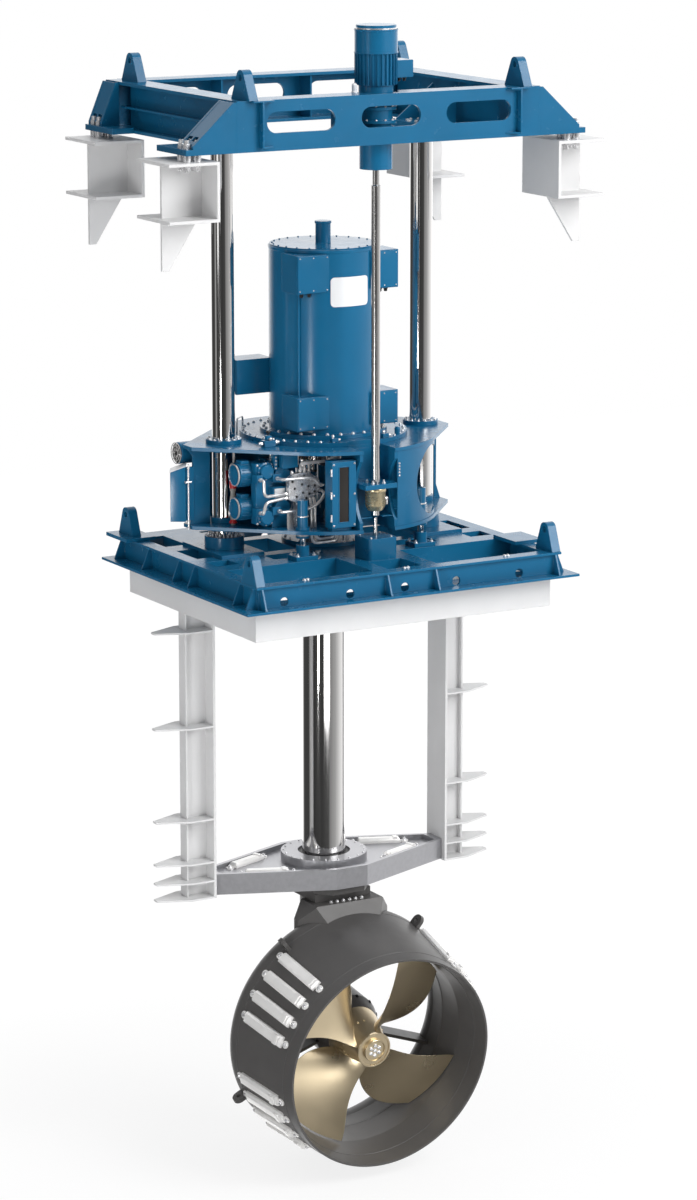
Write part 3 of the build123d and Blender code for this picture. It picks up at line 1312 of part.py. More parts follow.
def nozzle_anodes():
    """Groups of zinc bars along the flow on the outside of the nozzle."""
    pieces = []
    middle = (NOZZLE_SHOULDER + NOZZLE_OUTLET) / 2 - 50
    share = (middle - NOZZLE_SHOULDER) / (NOZZLE_OUTLET - NOZZLE_SHOULDER)
    radius = NOZZLE_R + (NOZZLE_OUTLET_R - NOZZLE_R) * share
    flare = degrees(atan2(NOZZLE_R - NOZZLE_OUTLET_R, NOZZLE_OUTLET - NOZZLE_SHOULDER))
    for centre in ANODE_GROUPS:
        for i in range(4):
            angle = centre + (i - 1.5) * ANODE_STEP
            bar = Pos(radius - 3, 0, middle) * Rot(0, 90 - flare, 0) * anode(500, 57)
            pieces.append(on_shaft(Rot(0, 0, angle) * bar) - nodes["nozzle"])
    return group(pieces)


nodes["nozzle_supports"] = group([nozzle_saddle()] + pod_stays()
                                 + [nozzle_lug(*place) for place in NOZZLE_LUGS])
nodes["nozzle_anodes"] = nozzle_anodes()


# Drive line and propeller

def bevel_angles():
    """Pitch cone angles of pinion and crown wheel about their axes, in degrees."""
    shaft_angle = radians(90 - SHAFT_TILT)
    ratio = BEVEL_TEETH[1] / BEVEL_TEETH[0]
    pinion = degrees(atan2(sin(shaft_angle), ratio + cos(shaft_angle)))
    return pinion, 90 - SHAFT_TILT - pinion


def cone_distance():
    return CROWN_R / sin(radians(bevel_angles()[1]))


def bevel_flank(teeth, angle, cone):
    """Tooth flank from root to tip as (tangent of the cone angle, half width as an angle)."""
    a = radians(angle)
    pitch_r = cone * sin(a)
    module = 2 * pitch_r / teeth
    back_r = pitch_r / cos(a)
    base_r = back_r * cos(radians(PRESSURE_ANGLE))
    root_r = back_r - 1.2 * module
    roll = sqrt((back_r / base_r) ** 2 - 1)
    half = (pi * module / 2 - BEVEL_BACKLASH) / 2 / back_r + roll - atan2(roll, 1)
    curve = involute_points(base_r, max(base_r, root_r + 0.5), back_r + 0.85 * module, 2)
    flank = [(r, half - swing) for r, swing in curve]
    points = []
    for r, swing in [(root_r, flank[0][1])] + flank:
        height = r - back_r
        points.append((tan(a + atan2(height, cone)), r * swing / (pitch_r + height * cos(a))))
    return points


def bevel_gear(teeth, angle, turn, back):
    """Straight bevel gear about Z with its apex at the origin and a tooth on direction turn."""
    cone = cone_distance()
    a = radians(angle)
    flank = bevel_flank(teeth, angle, cone)
    low = (cone - BEVEL_FACE) * cos(a) - 25 * sin(a)
    high = cone * cos(a) + (back + 5) * sin(a)
    ends = []
    for z in (low, high):
        outline = []
        for i in range(teeth):
            mid = radians(turn) + 2 * pi * i / teeth
            for spread, swing in [(s, -w) for s, w in flank] + [(s, w) for s, w in reversed(flank)]:
                r = z * spread
                outline.append((r * cos(mid + swing), r * sin(mid + swing), z))
        ends.append(face_of(outline))
    body = loft(ends, ruled=True)

    def on_cone(distance, outward):
        return (distance * sin(a) + outward * cos(a), distance * cos(a) - outward * sin(a))

    front = on_cone(cone - BEVEL_FACE, -14)
    rear = on_cone(cone, -back)
    return body & turned([(0, front[1]), front, on_cone(cone - BEVEL_FACE, 22),
                          on_cone(cone, 22), rear, (0, rear[1])])


def drive_shaft():
    """Long shaft of the motor, with the bevel pinion on its lower end."""
    angle = bevel_angles()[0]
    pinion = Pos(0, 0, SHAFT_Z) * bevel_gear(BEVEL_TEETH[0], angle, 90 + 180 / BEVEL_TEETH[0], 30)
    foot = SHAFT_Z + cone_distance() * cos(radians(angle))
    return pinion + disc(38, foot, foot + 240) + disc(DRIVE_SHAFT_R, foot + 200, MOTOR_TOP - 22)


def crown_wheel():
    wheel = Rot(180, 0, 0) * bevel_gear(BEVEL_TEETH[1], bevel_angles()[1], -90, 26)
    return on_shaft(wheel - Cylinder(PROP_SHAFT_R + SEAT_GAP, 600))


def propeller_shaft():
    low = -GEAR_ROOM + 4
    return on_shaft(Pos(0, 0, (low + HUB_REAR) / 2) * Cylinder(PROP_SHAFT_R, HUB_REAR - low))


# Blade sections on flat planes square to a radius: distance of the plane from the axis, half of the
# angle that the section spans, angle of its middle from the blade's own, thickness and camber.
BLADE_SECTIONS = (
    (100.0, 24.0, 0.5, 62.0, 0.0),
    (220.0, 29.6, -12.0, 48.0, 5.0),
    (400.0, 30.2, -15.7, 37.0, 8.0),
    (560.0, 28.2, -11.6, 29.0, 9.0),
    (740.0, 22.5, -3.5, 22.0, 7.0),
    (900.0, 17.0, 2.0, 16.0, 4.5),
)


def blade_section(r, half_angle, middle, thick, camber):
    """Lens-shaped face whose ends lie on the screw surface of the propeller's pitch."""
    half = radians(half_angle)
    rise = half * PROPELLER_PITCH / pi
    width = 2 * r * tan(half)
    slope = atan2(rise, width)
    chord = hypot(rise, width)
    m = radians(middle)
    along = Vector(-sin(m) * cos(slope), cos(m) * cos(slope), sin(slope))
    centre = (r * cos(m), r * sin(m), PROPELLER_S + m * PROPELLER_PITCH / (2 * pi))
    plane = Plane(origin=centre, x_dir=along, z_dir=Vector(cos(m), sin(m), 0))
    tip = chord / 2
    back = ThreePointArc((-tip, 0), (-0.08 * chord, -camber - thick / 2), (tip, 0))
    front = ThreePointArc((tip, 0), (-0.08 * chord, thick / 2 - camber), (-tip, 0))
    return plane * make_face(Curve() + [back, front])


def propeller():
    """Four blades of screw shape on a conical hub."""
    sections = [blade_section(*section) for section in BLADE_SECTIONS]
    blade = loft(sections) & (Pos(0, 0, PROPELLER_S) * Cylinder(PROPELLER_R, 900))
    front = SEAL_COVER_END + HUB_GAP
    bore = PROP_SHAFT_R + SEAT_GAP
    body = turned([(0, front), (HUB_FRONT_R, front), (HUB_REAR_R, HUB_REAR), (0, HUB_REAR)])
    for i in range(BLADES):
        body += Rot(0, 0, BLADE_TURN + 360 * i / BLADES) * blade
    return on_shaft(body - Cylinder(bore, 3000))


def hub_cap():
    """Cap on the hub's rear end, with a raised boss in its middle."""
    plate_end = HUB_CAP_END - 14
    return on_shaft(turned([(0, HUB_REAR), (HUB_CAP_R, HUB_REAR), (HUB_CAP_R, plate_end - 6),
                            (HUB_CAP_R - 6, plate_end), (HUB_BOSS_R, plate_end),
                            (HUB_BOSS_R, HUB_CAP_END), (0, HUB_CAP_END)]))


nodes["drive_shaft"] = drive_shaft()
nodes["crown_wheel"] = crown_wheel()
nodes["propeller_shaft"] = propeller_shaft()
nodes["propeller"] = propeller()
nodes["hub_cap"] = hub_cap()

for name, shape in nodes.items():
    export_step(shape, f"parts/{name}.step")
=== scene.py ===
import json
from math import atan2, cos, pi, radians, sin, sqrt

import bpy
import bmesh
from mathutils import Matrix, Vector


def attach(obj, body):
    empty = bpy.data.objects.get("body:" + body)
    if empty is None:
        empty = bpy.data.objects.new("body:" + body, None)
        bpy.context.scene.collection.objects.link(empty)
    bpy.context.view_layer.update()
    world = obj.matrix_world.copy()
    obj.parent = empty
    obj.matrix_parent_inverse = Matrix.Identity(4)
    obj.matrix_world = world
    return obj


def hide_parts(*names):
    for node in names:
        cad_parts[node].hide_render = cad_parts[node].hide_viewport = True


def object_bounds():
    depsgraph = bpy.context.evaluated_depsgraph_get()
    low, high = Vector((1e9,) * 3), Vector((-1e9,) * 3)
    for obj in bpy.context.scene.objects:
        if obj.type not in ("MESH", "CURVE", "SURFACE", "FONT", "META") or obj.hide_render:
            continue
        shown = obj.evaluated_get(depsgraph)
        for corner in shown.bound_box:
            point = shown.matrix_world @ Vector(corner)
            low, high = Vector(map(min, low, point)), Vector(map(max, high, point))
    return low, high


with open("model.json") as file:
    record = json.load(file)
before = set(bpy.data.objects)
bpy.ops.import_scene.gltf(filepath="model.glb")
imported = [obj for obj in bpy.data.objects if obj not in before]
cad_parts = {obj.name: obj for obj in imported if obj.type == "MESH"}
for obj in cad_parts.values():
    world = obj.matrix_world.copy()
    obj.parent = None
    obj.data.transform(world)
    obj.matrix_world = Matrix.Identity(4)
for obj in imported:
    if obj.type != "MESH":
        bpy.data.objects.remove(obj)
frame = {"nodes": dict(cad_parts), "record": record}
cad_low, cad_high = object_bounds()
MM = 0.001
CREASE = 35.0    # degrees between faces that still shade as one

# Camera of the photograph, in metres and degrees
CAMERA_PLACE = (-16.278, -28.721, 6.938)
CAMERA_DOWN = 12.412
CAMERA_TURN = 29.911
CAMERA_LENS = 119.49
SENSOR = 36.0

# Studio, in metres
FLOOR_DROP = 0.12
STUDIO_SIZE = 60.0
SHADOW_REACH = 7.5
WORLD_LEVEL = (0.42, 0.42, 0.43)
FLOOR_WHITE = 1.02    # strength at which the floor meets the white behind it

# Thruster, in millimetres
COLUMN_X = 950.0
SPINDLE_Y = -870.0
SPINDLE_R = 37.0
DECK = 205.0
SLAB_TOP = 235.0
SOCKET_TOP = 335.0
CARRIAGE_FLOOR = 454.0
CARRIAGE_TOP = 1115.0
MOTOR_FLOOR = 1150.0
MOTOR_R = 455.0
MOTOR_TOP = 2721.0
CABLE_PIPE_R = 64.5
CABLE_PIPE_TOP = 2903.0
HEAD_PLATE_TOP = 3686.0
UPPER_TOP = 4042.0
UPPER_FRONT = -1117.0
UPPER_REAR = 1177.0
RIB_X = 1200.0
RIB_DEPTH = {UPPER_FRONT: 58.0, UPPER_REAR: 30.0}
HOIST_FLANGES = (3688.0, 3816.0, 3926.0, 4026.0)
HOIST_FLANGE_R = 168.5
HOIST_TOP = 4576.0
GUIDE_RING_TOP = -2522.0
GUIDE_TRAY = -2600.0
GUIDE_SLOPE = atan2(390, 975)
SADDLE_TOP = -2878.0
SHAFT_Z = -3960.0
SHAFT_TILT = 8.0    # degrees below level
NOZZLE_R = 1052.0
NOZZLE_SHOULDER = 300.0
NOZZLE_FLARE = 96.0 / 857.0
THROAT_R = 888.0
LOCK_X = 565.0
LOCK_Y = 650.0


# Materials

def new_material(name):
    """A node material with a Principled shader, returned with its nodes and links."""
    material = bpy.data.materials.new(name)
    material.use_nodes = True
    nodes = material.node_tree.nodes
    return material, nodes, material.node_tree.links, nodes["Principled BSDF"]


def noise(nodes, links, scale, detail, stretch=None):
    """Noise in the object's own coordinates, stretched along axes if asked."""
    texture = nodes.new("ShaderNodeTexNoise")
    texture.inputs["Scale"].default_value = scale
    texture.inputs["Detail"].default_value = detail
    coordinates = nodes.new("ShaderNodeTexCoord").outputs["Object"]
    if stretch:
        mapping = nodes.new("ShaderNodeMapping")
        mapping.inputs["Scale"].default_value = stretch
        links.new(coordinates, mapping.inputs["Vector"])
        coordinates = mapping.outputs["Vector"]
    links.new(coordinates, texture.inputs["Vector"])
    return texture.outputs["Fac"]


def ramp(nodes, links, value, stops):
    """Colour ramp with (position, colour) stops."""
    node = nodes.new("ShaderNodeValToRGB")
    elements = node.color_ramp.elements
    while len(elements) < len(stops):
        elements.new(0.5)
    for element, (position, colour) in zip(elements, stops):
        element.position = position
        element.color = (*colour, 1.0)
    links.new(value, node.inputs["Fac"])
    return node.outputs["Color"]


def spread(nodes, links, value, low, high, from_low=0.3, from_high=0.7):
    """Value stretched from one range to another and clamped there."""
    node = nodes.new("ShaderNodeMapRange")
    node.inputs["From Min"].default_value = from_low
    node.inputs["From Max"].default_value = from_high
    node.inputs["To Min"].default_value = low
    node.inputs["To Max"].default_value = high
    links.new(value, node.inputs["Value"])
    return node.outputs["Result"]


def maths(nodes, links, operation, *values):
    """Result of a Math node fed by sockets or plain numbers."""
    node = nodes.new("ShaderNodeMath")
    node.operation = operation
    for socket, value in zip(node.inputs, values):
        if isinstance(value, float):
            socket.default_value = value
        else:
            links.new(value, socket)
    return node.outputs["Value"]


def mixed(nodes, links, factor, first, second):
    """Blend of two colours, each a socket or a plain colour."""
    node = nodes.new("ShaderNodeMix")
    node.data_type = "RGBA"
    links.new(factor, node.inputs["Factor"])
    for name, colour in (("A", first), ("B", second)):
        if isinstance(colour, tuple):
            node.inputs[name].default_value = (*colour, 1.0)
        else:
            links.new(colour, node.inputs[name])
    return node.outputs["Result"]


def soft_edge(nodes, radius):
    """Normal of the surface with its edges rounded by radius, in metres."""
    node = nodes.new("ShaderNodeBevel")
    node.samples = 4
    node.inputs["Radius"].default_value = radius
    return node.outputs["Normal"]


def edge_mask(nodes, links, rounded):
    """Bright where the rounded normal leaves the true one, along corners."""
    geometry = nodes.new("ShaderNodeNewGeometry")
    dot = nodes.new("ShaderNodeVectorMath")
    dot.operation = "DOT_PRODUCT"
    links.new(rounded, dot.inputs[0])
    links.new(geometry.outputs["Normal"], dot.inputs[1])
    return spread(nodes, links, dot.outputs["Value"], 1.0, 0.0, 0.80, 0.985)


def bump(nodes, links, shader, height, strength, distance, normal):
    """Relief from height, laid over normal and led into the shader."""
    node = nodes.new("ShaderNodeBump")
    node.inputs["Strength"].default_value = strength
    node.inputs["Distance"].default_value = distance
    links.new(height, node.inputs["Height"])
    links.new(normal, node.inputs["Normal"])
    links.new(node.outputs["Normal"], shader.inputs["Normal"])


def shade(colour, factor):
    """Colour made lighter or darker by factor, within white."""
    return tuple(min(c * factor, 1.0) for c in colour)


PAINT_SPECULAR = 0.34
COAT_ROUGHNESS = 0.12


def paint(name, colour, gloss=0.24, coat=0.06, grime=0.05, edge_wear_and_highlight=1.35, edge=0.005):
    """Sprayed machine paint: faint clouding, orange peel, and paler edges, painted partly as rubbed wear
    and partly as edge highlight.
    """
    material, nodes, links, shader = new_material(name)
    clouds = noise(nodes, links, 2.2, 4.0)
    stops = [(0.32, shade(colour, 1 - grime)), (0.68, shade(colour, 1 + grime))]
    rounded = soft_edge(nodes, edge)
    # Paler corners: partly rubbed wear, partly a painted highlight where the edges catch the light, broken
    # up by noise.
    edge_patchiness = spread(nodes, links, noise(nodes, links, 24.0, 4.0), 0.1, 0.9)
    worn_and_highlit_edges = maths(nodes, links, "MULTIPLY", edge_mask(nodes, links, rounded), edge_patchiness)
    base = mixed(nodes, links, worn_and_highlit_edges, ramp(nodes, links, clouds, stops), shade(colour, edge_wear_and_highlight))
    links.new(base, shader.inputs["Base Color"])
    patches = noise(nodes, links, 9.0, 5.0)
    links.new(spread(nodes, links, patches, gloss - 0.02, gloss + 0.04), shader.inputs["Roughness"])
    shader.inputs["Specular IOR Level"].default_value = PAINT_SPECULAR
    shader.inputs["Coat Weight"].default_value = coat
    shader.inputs["Coat Roughness"].default_value = COAT_ROUGHNESS
    peel = noise(nodes, links, 120.0, 1.0)
    bump(nodes, links, shader, peel, strength=0.02, distance=0.002, normal=rounded)
    return material


def metal(name, colour, low, high, stretch=(1.0, 1.0, 1.0), scale=30.0, tint=0.05, relief=0.015,
          bare=1.0, edge=0.002):
    """Metal whose tone and roughness, from low to high, vary along its grain."""
    material, nodes, links, shader = new_material(name)
    shader.inputs["Metallic"].default_value = bare
    grain = noise(nodes, links, scale, 2.0, stretch)
    base = ramp(nodes, links, grain, [(0.3, shade(colour, 1 - tint)), (0.7, shade(colour, 1 + tint))])
    links.new(base, shader.inputs["Base Color"])
    links.new(spread(nodes, links, grain, low, high), shader.inputs["Roughness"])
    rounded = soft_edge(nodes, edge)
    if relief:
        bump(nodes, links, shader, grain, strength=relief, distance=0.0006, normal=rounded)
    else:
        links.new(rounded, shader.inputs["Normal"])
    return material


BLUE = (0.0062, 0.112, 0.232)
PALE = (0.66, 0.66, 0.66)

paints = {
    "frame_paint": paint("blue_frame_paint", BLUE),
    "machine_paint": paint("blue_machine_paint", shade(BLUE, 1.04), gloss=0.20, coat=0.1),
    "hull_paint": paint("pale_hull_paint", PALE, gloss=0.42, coat=0.05, grime=0.03, edge_wear_and_highlight=1.1),
    "nozzle_paint": paint("dark_nozzle_paint", (0.082, 0.079, 0.077), gloss=0.40, coat=0.05, grime=0.08),
    "polished_steel": metal("polished_steel", (0.80, 0.79, 0.78), 0.05, 0.10,
                            stretch=(1.0, 1.0, 0.02), scale=40.0, tint=0.03, relief=0.01),
    "ground_steel": metal("ground_steel", (0.62, 0.61, 0.60), 0.16, 0.24,
                          stretch=(1.0, 1.0, 0.05), scale=60.0, tint=0.04, relief=0.02),
    "zinc_steel": metal("zinc_plated_steel", (0.82, 0.82, 0.83), 0.20, 0.32, relief=0.0, bare=0.7),
    "guide_casting": metal("machined_casting", (0.43, 0.43, 0.45), 0.30, 0.42, relief=0.0, bare=0.8),
    "propeller_bronze": metal("propeller_bronze", (0.78, 0.65, 0.44), 0.26, 0.34,
                              scale=3.0, tint=0.04, relief=0.0, bare=0.9),
    "nut_bronze": metal("turned_bronze", (0.74, 0.61, 0.38), 0.24, 0.32,
                        stretch=(1.0, 1.0, 4.0), scale=12.0, relief=0.0, bare=0.85),
    "anode_metal": metal("cast_anode_metal", (0.93, 0.92, 0.90), 0.28, 0.33,
                         scale=6.0, tint=0.03, relief=0.0, bare=0.3),
    "black_rubber": paint("black_bearing_polymer", (0.012, 0.012, 0.013), gloss=0.45, coat=0.0),
    "dark_steel": metal("laminated_core", (0.16, 0.16, 0.17), 0.40, 0.55, stretch=(1.0, 1.0, 30.0)),
}
extras = {
    "stainless": metal("stainless_pipe", (0.84, 0.83, 0.82), 0.16, 0.24, scale=20.0, relief=0.0, bare=0.65),
    "black": paint("black_plastic", (0.014, 0.014, 0.015), gloss=0.34, coat=0.1, edge=0.002),
    "red": paint("red_machine_paint", (0.42, 0.020, 0.024), gloss=0.30, coat=0.1, edge=0.002),
    "white": paint("white_enamel", (0.78, 0.79, 0.80), gloss=0.36, coat=0.1, grime=0.03, edge_wear_and_highlight=1.05),
    "pane": paint("smoked_pane", (0.026, 0.023, 0.021), gloss=0.12, coat=0.25, grime=0.2, edge=0.002),
    "bowl": paint("filter_bowl", (0.30, 0.29, 0.27), gloss=0.18, coat=0.25, edge=0.002),
}


def dress_nodes():
    """Gives each carried-over solid the material of its slot in the record."""
    for entry in frame["record"]["subparts"]:
        piece = frame["nodes"][entry["node"]]
        piece.data.materials.clear()
        piece.data.materials.append(paints[entry["material_slot"]])


# Shapes in common use, in millimetres

def aimed(place, axis=(0, 0, 1)):
    """Matrix that puts the origin at place and turns +Z to axis."""
    turn = Vector(axis).to_track_quat("Z", "Y").to_matrix().to_4x4()
    return Matrix.Translation(place) @ turn


def round_section(radius, rod, sides):
    """Closed profile of a ring of round rod, for turning."""
    angles = [2 * pi * i / sides for i in range(sides + 1)]
    return [(radius + rod * cos(a), rod * sin(a)) for a in angles]


class Shape:
    """Mesh gathered from turned, bevelled and bolted forms, made into one piece at the end."""

    def __init__(self):
        self.mesh = bmesh.new()

    def turned(self, profile, place=(0, 0, 0), axis=(0, 0, 1), sides=32):
        """Turns (radius, height) points about axis; a radius of zero closes an end."""
        matrix = aimed(place, axis)
        rings = []
        for radius, height in profile:
            angles = [2 * pi * i / sides for i in range(sides if radius else 1)]
            rings.append([self.mesh.verts.new(matrix @ Vector((radius * cos(a), radius * sin(a), height)))
                          for a in angles])
        for low, high in zip(rings, rings[1:]):
            for i in range(sides):
                j = (i + 1) % sides
                corners = (low[i % len(low)], low[j % len(low)], high[j % len(high)], high[i % len(high)])
                unique = list(dict.fromkeys(corners))
                if len(unique) > 2:
                    self.mesh.faces.new(unique)

    def box(self, low, high, edge=4.0):
        """Box with rounded edges between two corners."""
        size = [b - a for a, b in zip(low, high)]
        centre = [(a + b) / 2 for a, b in zip(low, high)]
        matrix = Matrix.Translation(centre) @ Matrix.Diagonal((*size, 1.0))
        verts = bmesh.ops.create_cube(self.mesh, size=1.0, matrix=matrix)["verts"]
        edges = list(dict.fromkeys(e for v in verts for e in v.link_edges))
        bmesh.ops.bevel(self.mesh, geom=edges, offset=edge, segments=2, profile=0.7, affect="EDGES")

    def hull(self, points, edge=3.0):
        """Solid round the outermost of points, with its edges rounded."""
        verts = [self.mesh.verts.new(point) for point in points]
        made = bmesh.ops.convex_hull(self.mesh, input=verts)
        faces = [item for item in made["geom"] if isinstance(item, bmesh.types.BMFace)]
        edges = list(dict.fromkeys(e for f in faces for e in f.edges))
        bmesh.ops.dissolve_limit(self.mesh, angle_limit=0.02, verts=verts, edges=edges)
        edges = list(dict.fromkeys(e for v in verts if v.is_valid for e in v.link_edges))
        bmesh.ops.bevel(self.mesh, geom=edges, offset=edge, segments=2, profile=0.7, affect="EDGES")

    def bolt(self, place, axis=(0, 0, 1), size=14.0, stud=0.3):
        """Washer, chamfered hexagon head and the end of the stud, seated at place."""
        s = size
        self.turned([(1.12 * s, 0), (1.12 * s, 0.16 * s), (0, 0.16 * s)], place, axis, 14)
        self.turned([(0.98 * s, 0.16 * s), (0.98 * s, 0.66 * s), (0.84 * s, 0.8 * s), (0, 0.8 * s)],
                    place, axis, 6)
        self.turned([(0.48 * s, 0.8 * s), (0.48 * s, (0.8 + stud) * s), (0, (0.84 + stud) * s)],
                    place, axis, 8)

    def fitting(self, place, axis, size=16.0):
        """Pipe union: collar, hexagon and nose."""
        s = size
        self.turned([(0, 0), (1.0 * s, 0), (1.0 * s, 0.8 * s)], place, axis, 18)
        self.turned([(0, 0.8 * s), (1.35 * s, 0.8 * s), (1.35 * s, 2.0 * s), (1.2 * s, 2.2 * s),
                     (0, 2.2 * s)], place, axis, 6)
        self.turned([(0.95 * s, 2.2 * s), (0.95 * s, 2.9 * s), (0.6 * s, 3.1 * s), (0, 3.1 * s)],
                    place, axis, 18)

    def piece(self, name, body, slot, material=None):
        """Ends the gathering: makes the object, in metres, and hangs it on its body.

        Without a material of its own it takes the paint of its slot.
        """
        bmesh.ops.remove_doubles(self.mesh, verts=self.mesh.verts, dist=0.01)
        bmesh.ops.recalc_face_normals(self.mesh, faces=self.mesh.faces)
        bmesh.ops.scale(self.mesh, vec=(MM, MM, MM), verts=self.mesh.verts)
        mesh = bpy.data.meshes.new(name)
        self.mesh.to_mesh(mesh)
        self.mesh.free()
        for polygon in mesh.polygons:
            polygon.use_smooth = True
        mesh.set_sharp_from_angle(angle=radians(CREASE))
        mesh.materials.append(material or paints[slot])
        item = bpy.data.objects.new(name, mesh)
        bpy.context.collection.objects.link(item)
        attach(item, body)
        return item


def ring_of(radius, count, z, centre=(0.0, 0.0), start=0.0):
    """Points evenly round a level circle, from start degrees on."""
    angles = [radians(start + 360 * i / count) for i in range(count)]
    return [(centre[0] + radius * cos(a), centre[1] + radius * sin(a), z) for a in angles]


def rounded_path(points, bend):
    """Path through points with each inner corner rounded by a short curve."""
    path = [Vector(points[0])]
    for before, corner, after in zip(points, points[1:], points[2:]):
        corner = Vector(corner)
        back = Vector(before) - corner
        ahead = Vector(after) - corner
        reach = min(bend, 0.45 * back.length, 0.45 * ahead.length)
        start = corner + back.normalized() * reach
        end = corner + ahead.normalized() * reach
        for i in range(9):
            t = i / 8
            path.append((1 - t) ** 2 * start + 2 * t * (1 - t) * corner + t ** 2 * end)
    path.append(Vector(points[-1]))
    return path


def pipe(name, points, radius, bend=60.0, material=extras["stainless"]):
    """Rigid bent pipe of the carriage through points."""
    path = rounded_path(points, bend)
    data = bpy.data.curves.new(name, "CURVE")
    data.dimensions = "3D"
    data.bevel_depth = radius * MM
    data.bevel_resolution = 4
    data.use_fill_caps = True
    spline = data.splines.new("POLY")
    spline.points.add(len(path) - 1)
    for point, place in zip(spline.points, path):
        point.co = (*(place * MM), 1.0)
    spline.use_smooth = True
    data.materials.append(material)
    item = bpy.data.objects.new(name, data)
    bpy.context.collection.objects.link(item)
    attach(item, "carriage")


def on_shaft(radius, angle, along):
    """Point round the shaft line: angle from +X upward, along the flow from the stem's axis."""
    tilt = radians(SHAFT_TILT)
    x = radius * cos(radians(angle))
    up = radius * sin(radians(angle))
    return Vector((x, -along * cos(tilt) - up * sin(tilt), SHAFT_Z - along * sin(tilt) + up * cos(tilt)))


def shaft_outward(angle):
    """Direction away from the shaft line at angle."""
    return on_shaft(1, angle, 0) - on_shaft(0, angle, 0)


POD_CENTRE = (0.0, 0.0, SHAFT_Z)
DOWNSTREAM = on_shaft(0, 0, 1) - on_shaft(0, 0, 0)


def skin_r(along):
    """Outer radius of the nozzle past its shoulder."""
    return NOZZLE_R - (along - NOZZLE_SHOULDER) * NOZZLE_FLARE


# Main motor and carriage deck

DISC_BOLTS_R = 675.0
FOOT_BOLTS_R = 500.0
FOOT_FLANGE = 30.0
BUSHING_BOLTS_R = 130.0
COVER_BOLTS_R = 425.0
TERMINAL_BOXES = ((-478.0, -174.0, -410.0), (217.0, 487.0, -405.0))    # left, right and front
UPPER_BOX = (MOTOR_TOP - 358, MOTOR_TOP - 41)
LOWER_BOX = (MOTOR_FLOOR + 72, MOTOR_FLOOR + 352)
LID = 9.0
VALVE_BLOCKS = ((-245.0, -615.0), (232.0, -628.0))


def deck_bolts():
    """Silver bolts of the motor's disc and foot flange, and of the column bushings."""
    shape = Shape()
    for place in ring_of(DISC_BOLTS_R, 40, MOTOR_FLOOR, start=4.5):
        if not (abs(place[0]) < 185 and place[1] < -600):
            shape.bolt(place, size=13)
    for place in ring_of(FOOT_BOLTS_R, 28, MOTOR_FLOOR + FOOT_FLANGE):
        shape.bolt(place, size=15)
    for side in (-1, 1):
        for place in ring_of(BUSHING_BOLTS_R, 14, MOTOR_FLOOR, (side * COLUMN_X, 0)):
            shape.bolt(place, size=11)
    shape.piece("deck_bolts", "carriage", "zinc_steel")


def drum_trim():
    """Rim and painted cover bolts of the drum, and the lip of the cable pipe."""
    shape = Shape()
    rim, lip = MOTOR_TOP - 10, CABLE_PIPE_TOP
    shape.turned([(MOTOR_R, rim - 30), (MOTOR_R + 5, rim - 26), (MOTOR_R + 5, rim - 4), (MOTOR_R, rim)],
                 sides=96)
    shape.turned([(CABLE_PIPE_R, lip - 22), (CABLE_PIPE_R + 6, lip - 20), (CABLE_PIPE_R + 6, lip - 2),
                  (CABLE_PIPE_R, lip)], sides=40)
    for place in ring_of(COVER_BOLTS_R, 24, MOTOR_TOP):
        shape.bolt(place, size=8, stud=0.0)
    shape.piece("drum_trim", "carriage", "machine_paint")


def bare_plate():
    """White plate with round corners, curved to the drum and left bare."""
    radius, half, low, high, corner, thick = MOTOR_R + 1.0, 181.0, 2240.0, 2486.0, 34.0, 3.0
    middle = radians(-89)
    steps = 40
    shape = Shape()
    rows = []
    for i in range(steps + 1):
        u = -half * cos(pi * i / steps)
        past = max(0.0, abs(u) - (half - corner))
        inset = corner - sqrt(max(corner ** 2 - past ** 2, 0.0))
        angle = middle + u / radius
        profile = ((radius, low + inset), (radius + thick, low + inset + 1),
                   (radius + thick, high - inset - 1), (radius, high - inset))
        rows.append([shape.mesh.verts.new((r * cos(angle), r * sin(angle), z)) for r, z in profile])
    for row, other in zip(rows, rows[1:]):
        for i in range(3):
            shape.mesh.faces.new((row[i], other[i], other[i + 1], row[i + 1]))
    for row in (rows[0], rows[-1]):
        shape.mesh.faces.new(row)
    shape.piece("bare_plate", "carriage", "hull_paint", extras["white"])


def terminal_box_lids():
    """Screwed lids and cable glands of the four boxes on the drum's front."""
    lids = Shape()
    screws = Shape()
    glands = Shape()
    for x0, x1, face in TERMINAL_BOXES:
        for low, high in (UPPER_BOX, LOWER_BOX):
            lids.box((x0 + 6, face - LID, low + 6), (x1 - 6, face + 1, high - 6), 4)
            for x in (x0 + 24, (x0 + x1) / 2, x1 - 24):
                for z in (low + 24, high - 24):
                    screws.bolt((x, face - LID, z), (0, -1, 0), 5, 0.0)
        for x in (x0 + 80, (x0 + x1) / 2, x1 - 80):
            glands.turned([(20, 0), (20, 14), (15, 20), (15, 34), (11, 38), (0, 38)],
                          (x, face + 70, UPPER_BOX[0]), (0, 0, -1), 12)
    lids.piece("terminal_box_lids", "carriage", "machine_paint")
    screws.piece("terminal_box_screws", "carriage", "zinc_steel")
    glands.piece("terminal_box_glands", "carriage", "black_rubber", extras["black"])
    pipe("drum_conduit", [(-384, -268, LOWER_BOX[1] - 2), (-384, -268, UPPER_BOX[0] + 2)], 11,
         material=paints["machine_paint"])


